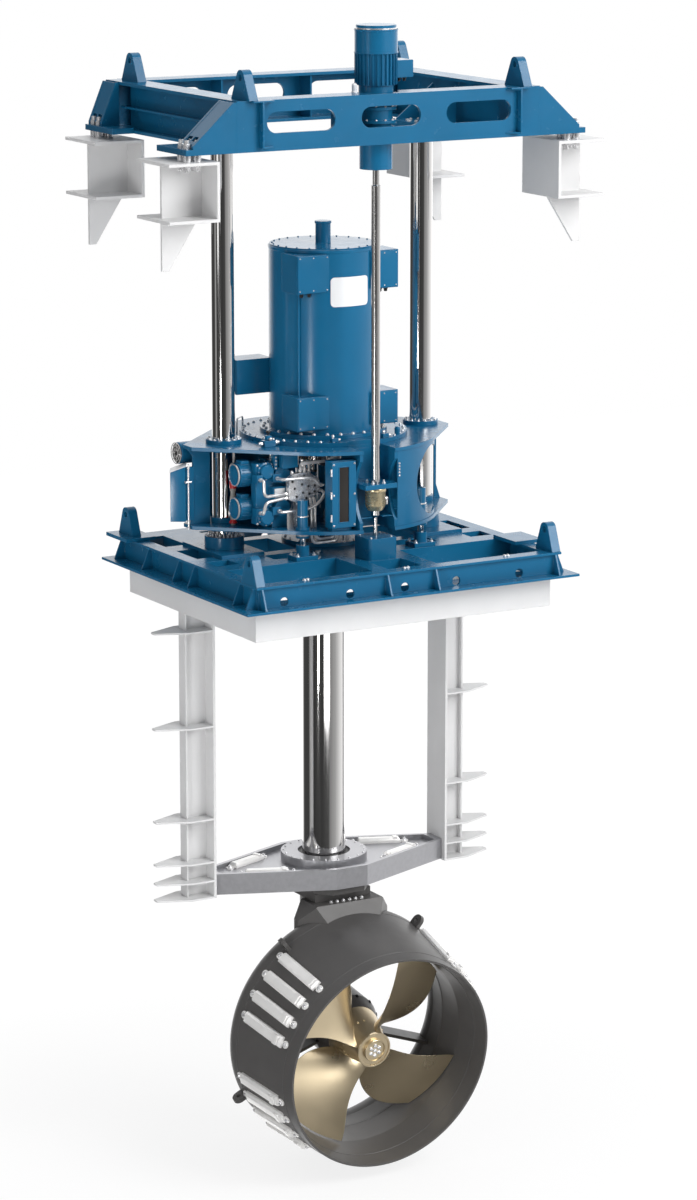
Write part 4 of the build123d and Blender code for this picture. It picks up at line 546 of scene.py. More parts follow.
def deck_fittings():
    """Grease blocks, valve blocks, locating pin and bent pipes on the carriage's top plate."""
    deck = CARRIAGE_TOP
    blocks = Shape()
    blocks.box((-770, -385, deck), (-668, -312, deck + 52), 5)
    blocks.box((-742, -370, deck + 52), (-696, -326, deck + 92), 5)
    blocks.turned([(24, 0), (24, 52), (18, 60), (18, 66), (0, 66)], (395, -555, MOTOR_FLOOR), sides=24)
    for x, y in VALVE_BLOCKS:
        blocks.box((x - 30, y - 22, MOTOR_FLOOR), (x + 30, y + 22, MOTOR_FLOOR + 34), 4)
    blocks.piece("deck_blocks", "carriage", "machine_paint")
    unions = Shape()
    unions.fitting((-770, -350, deck + 26), (-1, 0, 0), 13)
    unions.fitting((-668, -350, deck + 30), (1, 0, 0), 15)
    unions.fitting((-719, -370, deck + 66), (0, -1, 0), 10)
    for x, y in VALVE_BLOCKS:
        unions.fitting((x - 12, y, MOTOR_FLOOR + 34), (0, 0, 1), 9)
        unions.fitting((x + 30, y, MOTOR_FLOOR + 17), (1, 0, 0), 9)
    unions.piece("deck_unions", "carriage", "polished_steel", extras["stainless"])
    knob = Shape()
    knob.turned([(6, 0), (6, 14), (17, 18), (20, 30), (15, 40), (0, 42)], (-719, -348, deck + 92), sides=20)
    knob.piece("deck_knob", "carriage", "black_rubber", extras["black"])
    pipe("deck_pipe_rear", [(-610, 400, deck), (-610, 400, deck + 111), (-492, 516, deck + 111),
                            (-492, 516, deck)], 8, 40)
    pipe("deck_pipe_left", [(-852, 330, deck), (-852, 330, deck + 91), (-812, 392, deck + 91),
                            (-812, 392, deck)], 7, 30)


# Hydraulic unit between the carriage's plates

PUMP_LEVELS = (620.0, 900.0)
PUMP_MOTOR_Y = -330.0
PUMP_FACE = -470.0
PORT_FACE = -530.0
VALVE_X = -818.0
VALVE_LEVELS = (935.0, 552.0)
MANIFOLD_FACE = -596.0
MANIFOLD_Y = -568.0
PIPE_Y = -640.0


def pump_details():
    """Pump block with its valve housings, and the flanges, fins and cowls of its motors."""
    heads = Shape()
    heads.box((-905, PUMP_FACE, 492), (-745, -385, 1002), 12)
    for z in (882, 604):
        for x0, x1 in ((-926, -868), (-776, -700)):
            heads.box((x0, PORT_FACE, z - 34), (x1, -440, z + 34), 6)
    for z in VALVE_LEVELS:
        heads.turned([(76, 0), (76, 14), (60, 20), (60, 44), (52, 50), (0, 50)],
                     (VALVE_X, PUMP_FACE, z), (0, -1, 0), 40)
    heads.box((-778, PORT_FACE, 705), (-650, -449, 805), 6)
    heads.box((-700, -560, 958), (-556, -449, 1079), 6)
    heads.box((-750, -500, 940), (-712, -449, 1070), 4)
    for z in PUMP_LEVELS:
        heads.turned([(118, 0), (118, 14), (114, 18), (100, 18)], (-752, PUMP_MOTOR_Y, z), (-1, 0, 0), 40)
        heads.box((-990, PUMP_MOTOR_Y - 42, z + 88), (-915, PUMP_MOTOR_Y + 42, z + 118), 5)
        for i in range(24):
            angle = 2 * pi * i / 24
            y, rise = PUMP_MOTOR_Y + 99 * cos(angle), z + 99 * sin(angle)
            heads.box((-1000, y - 2.5, rise - 2.5), (-775, y + 2.5, rise + 2.5), 1)
    heads.piece("pump_heads", "carriage", "machine_paint")
    rims = Shape()
    cowls = Shape()
    bolts = Shape()
    for z in PUMP_LEVELS:
        rims.turned([(84, 0), (90, 2), (93, 8), (90, 14), (84, 16)],
                    (-1037, PUMP_MOTOR_Y, z), (1, 0, 0), 40)
        cowls.turned([(76, 0), (78, 4), (60, 9), (56, 5), (40, 10), (36, 6), (18, 11), (0, 11)],
                     (-1036, PUMP_MOTOR_Y, z), (-1, 0, 0), 32)
        for i in range(8):
            angle = 2 * pi * (i + 0.5) / 8
            bolts.bolt((-766, PUMP_MOTOR_Y + 108 * cos(angle), z + 108 * sin(angle)), (-1, 0, 0), 7)
    for z in VALVE_LEVELS:
        for i in range(6):
            angle = 2 * pi * (i + 0.5) / 6
            bolts.bolt((VALVE_X + 68 * cos(angle), PUMP_FACE - 14, z + 68 * sin(angle)), (0, -1, 0), 6)
        for x in (-890, -760):
            for shift in (-52, 52):
                bolts.bolt((x, PUMP_FACE, z + shift), (0, -1, 0), 9)
    for z in (958, 988, 1018, 1048):
        bolts.bolt((-731, -500, z), (0, -1, 0), 8)
    rims.piece("pump_motor_rims", "carriage", "polished_steel", extras["stainless"])
    cowls.piece("pump_motor_cowls", "carriage", "machine_paint")
    bolts.piece("pump_bolts", "carriage", "zinc_steel")


def manifold_details():
    """Plugs and unions on the silver manifold, and a bare plate on the pump block beside it."""
    plugs = Shape()
    for x, z in ((-630, 850), (-585, 880), (-520, 885), (-460, 865), (-610, 790), (-540, 820), (-480, 800),
                 (-420, 800), (-590, 720), (-530, 750), (-470, 735), (-420, 750), (-500, 700), (-560, 690)):
        plugs.turned([(11, 0), (11, 3), (8, 5), (8, 1), (0, 1)], (x, MANIFOLD_FACE, z), (0, -1, 0), 14)
    plugs.piece("manifold_plugs", "carriage", "black_rubber", extras["black"])
    unions = Shape()
    for x, z, axis in ((-660, 748, (-1, 0, 0)), (-660, 712, (-1, 0, 0)), (-372, 800, (1, 0, 0)),
                       (-378, 752, (1, 0, 0)), (-620, 900, (0, 0, 1)), (-540, 915, (0, 0, 1)),
                       (-500, 915, (0, 0, 1)), (-460, 900, (0, 0, 1))):
        unions.fitting((x, MANIFOLD_Y, z), axis, 12)
    for x, z in ((-900, 880), (-742, 880), (-900, 604), (-724, 604)):
        unions.fitting((x, PORT_FACE, z), (0, -1, 0), 13)
    unions.piece("hydraulic_unions", "carriage", "polished_steel", extras["stainless"])
    plate = Shape()
    plate.box((-762, PORT_FACE - 4, 718), (-666, PORT_FACE + 1, 792), 1.5)
    plate.piece("pump_side_plate", "carriage", "zinc_steel", extras["white"])


def hydraulic_pipes():
    """Bent stainless pipes between pumps, manifold and the plate below."""
    routes = {
        "pipe_upper_left": [(-900, -560, 880), (-900, -600, 880), (-895, -600, 748),
                            (-695, MANIFOLD_Y, 748)],
        "pipe_lower_left": [(-695, MANIFOLD_Y, 712), (-880, -600, 700), (-905, -600, 604),
                            (-900, -560, 604)],
        "pipe_upper_right": [(-742, -560, 880), (-742, PIPE_Y, 884), (-459, PIPE_Y, 878),
                             (-384, PIPE_Y, 800), (-340, -600, 800), (-340, MANIFOLD_Y, 800)],
        "pipe_lower_right": [(-346, MANIFOLD_Y, 752), (-346, PIPE_Y, 730), (-400, PIPE_Y, 660),
                             (-500, -604, 606), (-560, -583, 600), (-724, -583, 600), (-724, -560, 604)],
    }
    for name, points in routes.items():
        pipe(name, points, 13, 45)
    for i, shift in enumerate((0.0, 34.0)):
        x, z = -462 + shift, 316 + shift
        pipe(f"pipe_down_{i}", [(x, -590, 700), (x, -615, 640), (x, -615, z), (-205 - shift, -600, z),
                                (-205 - shift, -600, 424)], 12, 70)
    for i, x in enumerate((-540.0, -500.0, -460.0)):
        pipe(f"pipe_riser_{i}", [(x, MANIFOLD_Y, 930), (x, -560, 985)], 6)
    tray = Shape()
    tray.box((-560, -610, 984), (-290, -480, 990), 2)
    tray.box((-560, -612, 984), (-290, -606, 1010), 2)
    for x in (-556.0, -300.0):
        tray.box((x, -560, 990), (x + 6, -530, 1085), 2)
    tray.piece("pipe_tray", "carriage", "polished_steel", extras["stainless"])
    supplies = Shape()
    for low, high in ((745, 835), (890, 985)):
        supplies.box((-226, -580, low), (-148, -500, high), 6)
    supplies.box((-236, -504, 690), (-138, -490, 1080), 3)
    supplies.piece("supply_boxes", "carriage", "hull_paint", extras["white"])
    straps = Shape()
    for z in (770, 805, 915, 960):
        straps.box((-229, -583, z - 5), (-145, -496, z + 5), 1.5)
    for x in (-250.0, -170.0):
        straps.turned([(9, 0), (9, 60), (6, 66), (0, 66)], (x, -540, 1010), (0, 0, 1), 14)
    straps.piece("supply_straps", "carriage", "black_rubber", extras["black"])


def filter_column():
    """Filter with pale bowls and a red band beside the left column."""
    x, y = -968.0, -192.0
    red = Shape()
    red.turned([(0, 0), (34, 0), (34, 12), (24, 18), (24, 30), (0, 30)], (x, y, 470), sides=24)
    red.turned([(25, 0), (29, 4), (29, 118), (25, 122)], (x, y, 760), sides=24)
    red.piece("filter_red_parts", "carriage", "machine_paint", extras["red"])
    pale = Shape()
    pale.turned([(0, 0), (20, 0), (20, 46), (26, 56), (26, 240), (20, 250), (20, 280), (26, 290), (26, 440),
                 (28, 450), (28, 500), (14, 520), (0, 522)], (x, y, CARRIAGE_FLOOR), sides=24)
    pale.piece("filter_bowls", "carriage", "zinc_steel", extras["bowl"])


CABINET_LOW = (-420.0, -860.0, 480.0)
CABINET_HIGH = (-195.0, -768.0, 1040.0)
CABINET_WALL = 8.0
DOOR_FACE = -890.0
PANE_FACE = -884.0
WINDOW_X = (-354.0, -261.0)
WINDOW_Z = (531.0, 989.0)
WINDOW_FRAME = 7.0
JUNCTION_HIGH = 950.0
JUNCTION_LOW = 896.0
JUNCTION_ROD = (-1306.0, -44.0)
SMALL_MOTOR_AXIS = (196.0, 1024.0)


def cabinet_details():
    """Bodies of both cabinets, and the inside, window, screws and hinges of the control cabinet."""
    body = Shape()
    (x0, y0, z0), (x1, y1, z1), wall = CABINET_LOW, CABINET_HIGH, CABINET_WALL
    for low, high in (((x0, y1 - wall, z0), (x1, y1, z1)),
                      ((x0, y0, z0), (x0 + wall, y1, z1)), ((x1 - wall, y0, z0), (x1, y1, z1)),
                      ((x0 + wall, y0, z0), (x1 - wall, y1, z0 + wall)),
                      ((x0 + wall, y0, z1 - wall), (x1 - wall, y1, z1))):
        body.box(low, high, 2)
    body.box((x0 + 20, y0 + 10, CARRIAGE_FLOOR), (x1 - 20, y1 - 7, z0 + 2), 3)
    front = ((Vector((-1325, -30, 0)), JUNCTION_HIGH), (Vector((-1431, 42, 0)), JUNCTION_LOW))
    depth = Vector((90, 156, 0))
    corners = [(corner + shift, top) for corner, top in front for shift in (Vector(), depth)]
    body.hull([(c.x, c.y, 484) for c, top in corners] + [(c.x, c.y, top) for c, top in corners], 5)
    body.box((-1326, -20, 490), (-1240, 8, 940), 4)
    item = body.piece("cabinet_bodies", "carriage", "machine_paint")
    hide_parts("cabinets")
    rails = Shape()
    rails.box((-404, -784, 500), (-211, -777, 1020), 1.5)
    switches = Shape()
    for z in (590, 760, 930):
        rails.box((-398, -790, z - 18), (-217, -783, z + 18), 1.5)
        for i in range(5):
            switches.box((-392 + 35 * i, -830, z - 46), (-362 + 35 * i, -789, z + 46), 3)
    rails.piece("cabinet_rails", "carriage", "zinc_steel")
    switches.piece("cabinet_switches", "carriage", "black_rubber", extras["black"])
    pane = Shape()
    (x0, x1), (z0, z1), edge = WINDOW_X, WINDOW_Z, WINDOW_FRAME
    pane.box((x0, PANE_FACE, z0), (x1, PANE_FACE + 4, z1), 1.5)
    pane.piece("door_pane", "door", "black_rubber", extras["pane"])
    frames = Shape()
    for (left, low), (right, high) in (((x0 - edge, z0 - edge), (x0 + 1, z1 + edge)),
                                       ((x1 - 1, z0 - edge), (x1 + edge, z1 + edge)),
                                       ((x0, z0 - edge), (x1, z0 + 1)), ((x0, z1 - 1), (x1, z1 + edge))):
        frames.box((left, DOOR_FACE - 3, low), (right, PANE_FACE + 4, high), 2)
    frames.piece("door_window_frame", "door", "machine_paint")
    screws = Shape()
    for x in (-405, -210):
        for z in (505, 760, 1015):
            screws.bolt((x, DOOR_FACE, z), (0, -1, 0), 8)
    screws.piece("door_screws", "door", "zinc_steel")
    hinges = Shape()
    for z in (540.0, 730.0, 920.0):
        hinges.turned([(0, 0), (7, 0), (8, 1), (8, 59), (7, 60), (0, 60)], (-424, PANE_FACE, z), sides=16)
    hinges.piece("door_hinges", "carriage", "zinc_steel")


def left_end():
    """Roof and latch rod of the junction cabinet, and the small level motor above it."""
    blue = Shape()
    blue.turned([(86, 0), (92, 4), (92, 136), (84, 144), (0, 144)],
                (-1140, *SMALL_MOTOR_AXIS), (-1, 0, 0), 40)
    blue.box((-1200, 176, 1080), (-1080, 216, 1112), 4)
    blue.piece("small_motor", "carriage", "machine_paint")
    roof = Shape()
    roof.hull([(x, y, z + lift) for x, y, z in ((-1327, -38, 950), (-1440, 40, 895), (-1344, 206, 895),
                                                (-1228, 128, 950)) for lift in (0, 6)], 2)
    roof.piece("junction_cabinet_roof", "carriage", "hull_paint", extras["white"])
    pipe("junction_rod", [(*JUNCTION_ROD, 968), (*JUNCTION_ROD, 424)], 7)
    latch = Shape()
    latch.turned([(0, 0), (9, 0), (9, 54), (0, 54)], (-1332, -46, 820), (1, 0, 0), 14)
    for z in (424, 466, 930):
        latch.turned([(0, 0), (12, 0), (12, 16), (0, 16)], (*JUNCTION_ROD, z), sides=16)
    latch.box((-1334, -46, 812), (-1310, -28, 828), 2)
    latch.piece("junction_latch", "carriage", "zinc_steel")
    guard = Shape()
    for radius in (88.0, 62.0, 36.0):
        guard.turned(round_section(radius, 4, 8), (-1294, *SMALL_MOTOR_AXIS), (-1, 0, 0), 32)
    y, z = SMALL_MOTOR_AXIS
    for i in range(8):
        angle = 2 * pi * i / 8
        tip = (-1290, y + 90 * cos(angle), z + 90 * sin(angle))
        guard.turned([(3.5, 0), (3.5, 90)], tip, (0, -cos(angle), -sin(angle)), 8)
    guard.piece("small_motor_guard", "carriage", "polished_steel", extras["stainless"])
    fan = Shape()
    fan.turned([(84, 0), (84, 4), (20, 8), (16, 14), (0, 14)], (-1280, *SMALL_MOTOR_AXIS), (-1, 0, 0), 32)
    fan.piece("small_motor_fan", "carriage", "black_rubber", extras["black"])


# Hoist

HOIST_LID_X = 295.0
HOIST_LID_Z = (4153.0, 4287.0)
NUT_LOW = 600.0
NUT_TOP = 789.0
BRIDGE_TOP = 830.0
SHELL_R = 942.0


def hoist_details():
    """Flange bolts, fan cowl, terminal box lid and small fittings of the hoist drive."""
    lid_low, lid_high = HOIST_LID_Z
    bolts = Shape()
    for z in HOIST_FLANGES:
        for place in ring_of(HOIST_FLANGE_R - 16, 12, z, (0, SPINDLE_Y)):
            bolts.bolt(place, size=9)
    bolts.turned([(163, 4541), (167, 4543), (167, 4553), (163, 4555)], (0, SPINDLE_Y, 0), sides=64)
    for y in (SPINDLE_Y - 78, SPINDLE_Y + 78):
        for z in (lid_low + 15, lid_high - 15):
            bolts.bolt((HOIST_LID_X, y, z), (1, 0, 0), 6)
    bolts.piece("hoist_bolts", "hull_structure", "zinc_steel")
    blue = Shape()
    for z in (4348, 4528):
        blue.turned([(174, 0), (179, 2), (179, 12), (174, 14)], (0, SPINDLE_Y, z), sides=64)
    blue.box((HOIST_LID_X - 9, SPINDLE_Y - 92, lid_low), (HOIST_LID_X, SPINDLE_Y + 92, lid_high), 3)
    blue.turned([(164, 0), (158, 3), (60, 4), (54, 2), (0, 2)], (0, SPINDLE_Y, HOIST_TOP - 4), sides=64)
    blue.piece("hoist_trim", "hull_structure", "machine_paint")
    black = Shape()
    for x in (190, 240):
        black.turned([(17, 0), (17, 12), (12, 18), (12, 32), (0, 34)],
                     (x, SPINDLE_Y - 40, lid_low - 3), (0, 0, -1), 12)
    for place in ring_of(112, 20, HOIST_TOP - 2.5, (0, SPINDLE_Y)):
        black.turned([(9, 0), (9, 2), (0, 2.4)], place, sides=10)
    black.piece("hoist_black_parts", "hull_structure", "black_rubber", extras["black"])
    cup = Shape()
    cup.turned([(0, 0), (24, 0), (24, 10), (19, 14), (21, 20), (21, 66), (12, 76), (0, 76)],
               (-228, SPINDLE_Y - 46, UPPER_TOP), sides=24)
    cup.piece("hoist_sensor", "hull_structure", "hull_paint", extras["white"])
    eye = Shape()
    eye.turned([(14.4, 0), (14.4, 4.8), (8, 8), (0, 8)], (-126, SPINDLE_Y - 84, 4355), sides=20)
    eye.turned(round_section(13.6, 4.16, 10), (-126, SPINDLE_Y - 84, 4376.6), (1, 1, 0), 24)
    eye.piece("hoist_eye", "hull_structure", "zinc_steel")


def nut_details():
    """Bronze nut, studs on its bridge, its wear sensor and the split guard below it."""
    nut = Shape()
    bore = SPINDLE_R + 1
    nut.turned([(bore, NUT_LOW), (62, NUT_LOW), (68, 606), (82, 640), (84, 646), (84, 752), (88, 758),
                (88, 786), (86, NUT_TOP), (bore, NUT_TOP), (bore, NUT_LOW)], (0, SPINDLE_Y, 0), sides=56)
    item = nut.piece("bronze_nut", "carriage", "nut_bronze")
    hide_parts("spindle_nut")
    bolts = Shape()
    for dx in (-52, 52):
        for dy in (-48, 48):
            bolts.bolt((dx, SPINDLE_Y + dy, BRIDGE_TOP), size=15, stud=1.0)
    bolts.fitting((80, SPINDLE_Y - 6, 690), (1, 0, 0), 11)
    bolts.turned([(9, 0), (9, 60), (6, 64), (0, 64)], (106, SPINDLE_Y - 6, 640), sides=14)
    bolts.piece("nut_bolts", "carriage", "zinc_steel")
    guard = Shape()
    for x0, x1 in ((-150, -50), (50, 150)):
        guard.box((x0, SPINDLE_Y - 30, 542), (x1, SPINDLE_Y + 30, 548), 2)
    guard.piece("spindle_guard", "carriage", "frame_paint")
    screws = Shape()
    angle = radians(-77.8)
    for z in (878, 904, 930, 956, 980):
        screws.bolt((SHELL_R * cos(angle), SHELL_R * sin(angle), z), (cos(angle), sin(angle), 0), 8)
    screws.piece("web_screws", "carriage", "zinc_steel")


# Base frame and upper frame

SOCKET_BOLTS_R = 131.0
HEAD_BOLTS_R = 120.0
SEAL_BOLTS_R = 325.0
LANDING_FOOT_TOP = 240.0
SPINDLE_FOOT_TOP = 385.0
RIM_BOLTS_Y = -1386.0
LOCK_R = 45.0


def base_bolts():
    """Studs of the column sockets and heads, seal housing, landing feet, front rim and spindle foot."""
    shape = Shape()
    for side in (-1, 1):
        for place in ring_of(SOCKET_BOLTS_R, 24, SOCKET_TOP, (side * COLUMN_X, 0)):
            shape.bolt(place, size=10, stud=1.6)
        for place in ring_of(HEAD_BOLTS_R, 10, HEAD_PLATE_TOP, (side * COLUMN_X, 0)):
            shape.bolt(place, size=14)
        for end in (-1, 1):
            for dx in (-76, 76):
                for dy in (-54, 54):
                    place = (side * LOCK_X + dx, end * LOCK_Y + dy, LANDING_FOOT_TOP)
                    shape.bolt(place, size=15, stud=0.9)
    for place in ring_of(SEAL_BOLTS_R, 16, SLAB_TOP):
        shape.bolt(place, size=12)
    for x in (-947, -9, 954):
        for dx in (-16, 16):
            shape.bolt((x + dx, RIM_BOLTS_Y, DECK), size=14)
    for dx in (-95, 95):
        for dy in (-95, 87):
            shape.bolt((dx, SPINDLE_Y + dy, SPINDLE_FOOT_TOP), size=9)
    shape.piece("base_bolts", "hull_structure", "zinc_steel")


def frame_ribs():
    """Ribs and corner plates where the upper frame's end haunches meet its front and rear beams."""
    shape = Shape()
    for face, out in ((UPPER_FRONT, -1), (UPPER_REAR, 1)):
        for side in (-1, 1):
            rib = side * RIB_X
            tip = face + out * RIB_DEPTH[face]
            y0, y1 = sorted((face, tip))
            shape.box((rib - 8, y0, UPPER_TOP - 376), (rib + 8, y1, UPPER_TOP - 8), 2)
            corners = ((rib, face), (rib, tip), (rib - side * 120, face))
            for z in (UPPER_TOP - 24, UPPER_TOP - 378):
                shape.hull([(x, y, z + rise) for x, y in corners for rise in (0, 14)], 2)
            middle = rib - side * 5
            shape.box((middle - 95, y0, UPPER_TOP - 14), (middle + 95, y1, UPPER_TOP), 3)
    shape.piece("frame_ribs", "hull_structure", "frame_paint")


def lock_collars():
    """Bright collars at the foot and the top of the four lock cylinders."""
    shape = Shape()
    for x in (-LOCK_X, LOCK_X):
        for y in (-LOCK_Y, LOCK_Y):
            shape.turned([(LOCK_R, 0), (57, 0), (59, 3), (59, 13), (57, 16), (LOCK_R, 16)],
                         (x, y, 403), sides=32)
            shape.turned([(LOCK_R, 0), (50, 2), (50, 10), (LOCK_R, 12)], (x, y, 560), sides=32)
    shape.piece("lock_collars", "carriage", "polished_steel", extras["stainless"])


# Guide plate and lower unit

ANODE_HEIGHT = 46.0
GUIDE_BOLTS_R = 346.0
GUIDE_ANODE_X = 655.0
GUIDE_ANODE_Y = 185.0
NOZZLE_ANODE_ALONG = 678.0
ANODE_GROUPS = (-32.0, 32.0, 148.0, 212.0)
ANODE_STEP = 10.8
HUB_FACE = 884.0


def anode(shape, bolts, place, along, outward, length, width):
    """Cast zinc bar with a strap and a bolted eye at each end, on the surface at place."""
    along = Vector(along).normalized()
    outward = Vector(outward).normalized()
    across = along.cross(outward)
    half, side, height = length / 2, width / 2, ANODE_HEIGHT

    def at(x, y, z):
        return Vector(place) + x * along + y * across + z * outward

    section = ((side, 0, 0), (side, height * 0.5, 0), (side * 0.66, height, 12))
    shape.hull([at(sx * (half - inset), sy * reach, z) for sx in (-1, 1) for sy in (-1, 1)
                for reach, z, inset in section], 4)
    shape.hull([at(half * share, sy * side * 0.84, z) for share in (0.66, 0.86) for sy in (-1, 1)
                for z in (0, height + 6)], 3)
    for end in (-1, 1):
        shape.hull([at(end * x, sy * 16, z) for x in (half - 8, half + 30) for sy in (-1, 1)
                    for z in (0, 16)], 3)
        eye = at(end * (half + 40), 0, 0)
        shape.turned([(33, 0), (33, 13), (29, 17), (0, 17)], eye, outward, 24)
        bolts.bolt(eye + 17 * outward, outward, 17)


def guide_details():
    """Bolts of the ring, and the anodes in the guide plate's tray."""
    bolts = Shape()
    anodes = Shape()
    for place in ring_of(GUIDE_BOLTS_R, 20, GUIDE_RING_TOP, start=9):
        bolts.bolt(place, size=9, stud=0.0)
    for sx in (-1, 1):
        for sy in (-1, 1):
            lean = -sx * sy * GUIDE_SLOPE
            place = (sx * GUIDE_ANODE_X, sy * GUIDE_ANODE_Y, GUIDE_TRAY)
            anode(anodes, bolts, place, (cos(lean), sin(lean), 0), (0, 0, 1), 372, 84)
    bolts.piece("guide_bolts", "guide", "zinc_steel")
    item = anodes.piece("guide_anode_bars", "guide", "anode_metal")
    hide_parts("guide_anodes")


def nozzle_details():
    """Anodes and weld seams of the nozzle, saddle bolts and plugs of the pod's cover."""
    shape = Shape()
    anodes = Shape()
    for centre in ANODE_GROUPS:
        for i in range(4):
            angle = centre + (i - 1.5) * ANODE_STEP
            outward = shaft_outward(angle) + NOZZLE_FLARE * DOWNSTREAM
            along = DOWNSTREAM - NOZZLE_FLARE * shaft_outward(angle)
            place = on_shaft(skin_r(NOZZLE_ANODE_ALONG) - 3, angle, NOZZLE_ANODE_ALONG)
            anode(anodes, shape, place, along, outward, 530, 100)
    item = anodes.piece("nozzle_anode_bars", "steering_unit", "anode_metal")
    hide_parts("nozzle_anodes")
    for i in range(6):
        shape.bolt((-150 + 60 * i, -388, SADDLE_TOP), size=16)
    shape.piece("nozzle_bolts", "steering_unit", "zinc_steel")
    seams = Shape()
    for along in (345.0, 1030.0):
        r = skin_r(along)
        seams.turned([(r - 2, along - 7), (r + 2, along - 4), (r + 2, along + 4), (r - 2, along + 7)],
                     POD_CENTRE, DOWNSTREAM, 128)
    for along, r in ((520.0, THROAT_R), (1000.0, THROAT_R + 28.6)):
        seams.turned([(r + 1, along - 6), (r - 3, along - 3), (r - 3, along + 3), (r + 1, along + 6)],
                     POD_CENTRE, DOWNSTREAM, 128)
    seams.piece("nozzle_seams", "steering_unit", "nozzle_paint")
    plugs = Shape()
    for i in range(12):
        angle = 30 * i + 15
        plugs.turned([(16, 0), (16, 8), (10, 10), (10, 4), (0, 4)], on_shaft(293, angle, 402),
                     shaft_outward(angle) + 0.4 * DOWNSTREAM, 14)
    plugs.piece("pod_plugs", "steering_unit", "black_rubber", extras["black"])


def hub_details():
    """Raised lip, bolt cluster and small bolts of the hub and its cap."""
    shape = Shape()
    shape.turned([(88, HUB_FACE), (100, HUB_FACE), (102, 887), (102, 896), (99, 899), (92, 899), (90, 896),
                  (88, HUB_FACE)], POD_CENTRE, DOWNSTREAM, 48)
    shape.turned([(138, 869), (156, 869), (158, 872), (156, 877), (141, 877), (138, 869)],
                 POD_CENTRE, DOWNSTREAM, 64)
    for i in range(4):
        for shift in (-9, 9):
            angle = 11 + 90 * i + shift
            shape.bolt(on_shaft(195, angle, 680), shaft_outward(angle) + 0.33 * DOWNSTREAM, 9, 0.0)
    shape.piece("hub_trim", "propulsor", "propeller_bronze")
    cluster = Shape()
    for i in range(6):
        cluster.bolt(on_shaft(44, 60 * i + 30, HUB_FACE), DOWNSTREAM, 16, 0.2)
    cluster.bolt(on_shaft(0, 0, HUB_FACE), DOWNSTREAM, 16, 0.2)
    cluster.piece("hub_bolts", "propulsor", "zinc_steel")


# Studio

# Grey of the studio in what metal reflects, by share of a turn from behind the thruster
SWEEP = ((0.00, 1.5), (0.08, 1.3), (0.11, 0.8), (0.145, 0.06), (0.265, 0.05), (0.29, 0.38), (0.31, 0.38),
         (0.335, 0.04), (0.50, 0.045), (0.57, 0.06), (0.597, 0.26), (0.68, 0.42), (0.76, 0.80),
         (0.82, 1.0), (0.90, 1.3), (1.00, 1.5))


def lamp(name, place, target, size, power):
    """White rectangular lamp at place, turned to target."""
    data = bpy.data.lights.new(name, "AREA")
    data.shape = "RECTANGLE"
    data.size, data.size_y = size
    data.energy = power
    item = bpy.data.objects.new(name, data)
    bpy.context.collection.objects.link(item)
    item.location = place
    aim = Vector(target) - Vector(place)
    item.rotation_euler = aim.to_track_quat("-Z", "Y").to_euler()


def studio_world():
    """White where the camera sees it, and a soft dark-to-bright sweep in what metal reflects."""
    world = bpy.data.worlds.new("studio")
    bpy.context.scene.world = world
    world.use_nodes = True
    nodes, links = world.node_tree.nodes, world.node_tree.links
    background = nodes["Background"]
    paths = nodes.new("ShaderNodeLightPath")
    direction = nodes.new("ShaderNodeTexCoord").outputs["Generated"]
    turn = nodes.new("ShaderNodeVectorRotate")
    turn.rotation_type = "Z_AXIS"
    turn.inputs["Angle"].default_value = radians(CAMERA_TURN)
    links.new(direction, turn.inputs["Vector"])
    split = nodes.new("ShaderNodeSeparateXYZ")
    links.new(turn.outputs["Vector"], split.inputs["Vector"])
    front = maths(nodes, links, "MULTIPLY", split.outputs["Y"], -1.0)
    angle = maths(nodes, links, "ARCTAN2", split.outputs["X"], front)
    around = spread(nodes, links, angle, 0.0, 1.0, -pi, pi)
    sweep = ramp(nodes, links, around, [(share, (grey, grey, grey)) for share, grey in SWEEP])
    soft = mixed(nodes, links, paths.outputs["Is Glossy Ray"], WORLD_LEVEL, sweep)
    seen = mixed(nodes, links, paths.outputs["Is Camera Ray"], soft, (1.0, 1.0, 1.0))
    links.new(seen, background.inputs["Color"])
    background.inputs["Strength"].default_value = 1.0


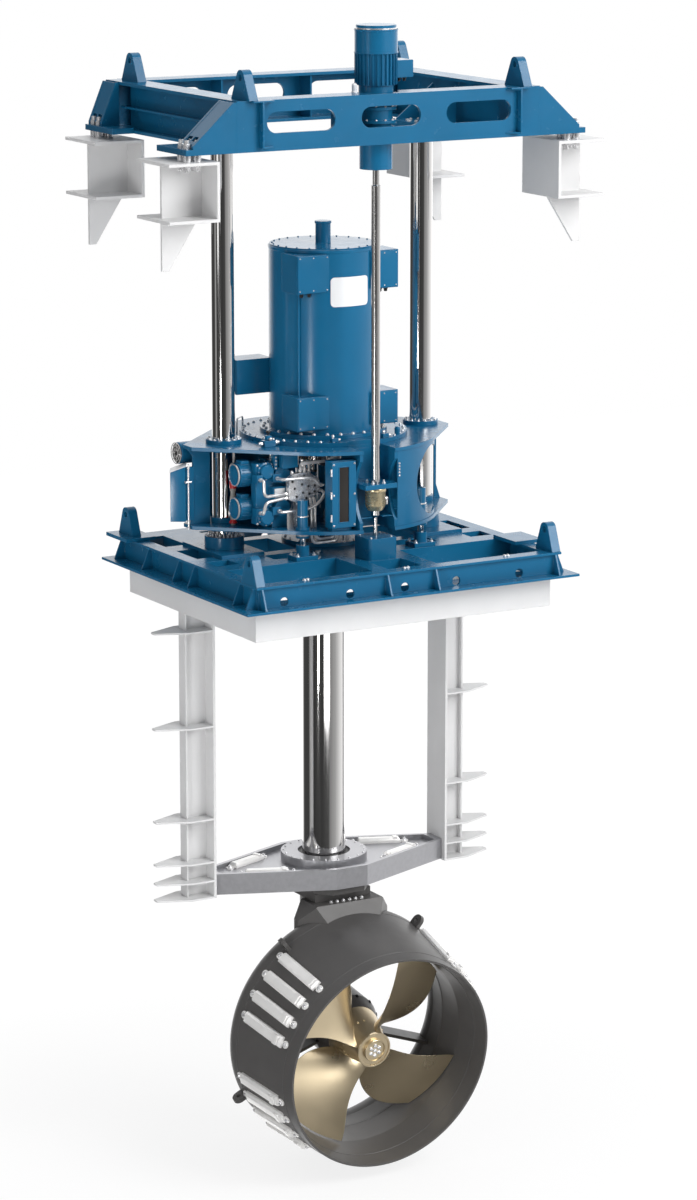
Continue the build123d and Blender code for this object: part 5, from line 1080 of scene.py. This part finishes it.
def studio_floor():
    """Pale floor just under the nozzle, white to the camera, with the thruster's soft shadow."""
    z = cad_low[2] - FLOOR_DROP
    half = STUDIO_SIZE / 2
    mesh = bpy.data.meshes.new("floor")
    corners = [(-half, -half, z), (half, -half, z), (half, half, z), (-half, half, z)]
    mesh.from_pydata(corners, [], [(0, 1, 2, 3)])
    floor = bpy.data.objects.new("floor", mesh)
    bpy.context.collection.objects.link(floor)
    floor.visible_glossy = False
    material, nodes, links, shader = new_material("floor_paint")
    tone = noise(nodes, links, 0.4, 2.0)
    pale = ramp(nodes, links, tone, [(0.3, (0.88, 0.88, 0.88)), (0.7, (0.92, 0.92, 0.92))])
    links.new(pale, shader.inputs["Base Color"])
    shader.inputs["Roughness"].default_value = 0.7
    distance = nodes.new("ShaderNodeVectorMath")
    distance.operation = "LENGTH"
    links.new(nodes.new("ShaderNodeTexCoord").outputs["Object"], distance.inputs[0])
    white_share = spread(nodes, links, distance.outputs["Value"], 0.80, 1.0, abs(z), SHADOW_REACH)
    camera_ray = nodes.new("ShaderNodeLightPath").outputs["Is Camera Ray"]
    seen = maths(nodes, links, "MULTIPLY", white_share, camera_ray)
    white = nodes.new("ShaderNodeEmission")
    white.inputs["Strength"].default_value = FLOOR_WHITE
    blend = nodes.new("ShaderNodeMixShader")
    links.new(seen, blend.inputs["Fac"])
    links.new(shader.outputs["BSDF"], blend.inputs[1])
    links.new(white.outputs["Emission"], blend.inputs[2])
    links.new(blend.outputs["Shader"], nodes["Material Output"].inputs["Surface"])
    mesh.materials.append(material)


def studio_lamps():
    """Large key from the right, weaker fill from the left, and soft light from above and below."""
    middle = (0.0, 0.0, 0.5)
    lamp("key", (8.0, -15.0, 11.0), middle, (11.0, 13.0), 3500)
    lamp("fill", (-15.0, -5.0, 6.0), middle, (5.0, 12.0), 200)
    lamp("strip", (-12.0, -8.0, -2.5), (0.0, -0.5, -4.2), (1.5, 4.0), 420)
    lamp("top", (0.0, 1.0, 16.0), middle, (9.0, 9.0), 350)
    lamp("low", (-3.0, -14.0, -3.5), (0.0, -0.5, -4.0), (8.0, 3.0), 200)


def studio_camera():
    """Camera at the photograph's viewing angle."""
    data = bpy.data.cameras.new("camera")
    data.sensor_width = SENSOR
    data.lens = CAMERA_LENS
    camera = bpy.data.objects.new("camera", data)
    bpy.context.collection.objects.link(camera)
    camera.location = CAMERA_PLACE
    camera.rotation_euler = (radians(90 - CAMERA_DOWN), 0.0, radians(-CAMERA_TURN))
    bpy.context.scene.camera = camera


dress_nodes()
deck_bolts()
drum_trim()
bare_plate()
terminal_box_lids()
deck_fittings()
pump_details()
manifold_details()
hydraulic_pipes()
filter_column()
cabinet_details()
left_end()
hoist_details()
nut_details()
base_bolts()
frame_ribs()
lock_collars()
guide_details()
nozzle_details()
hub_details()
studio_world()
studio_floor()
studio_lamps()
studio_camera()
bpy.context.scene.view_settings.view_transform = "Standard"
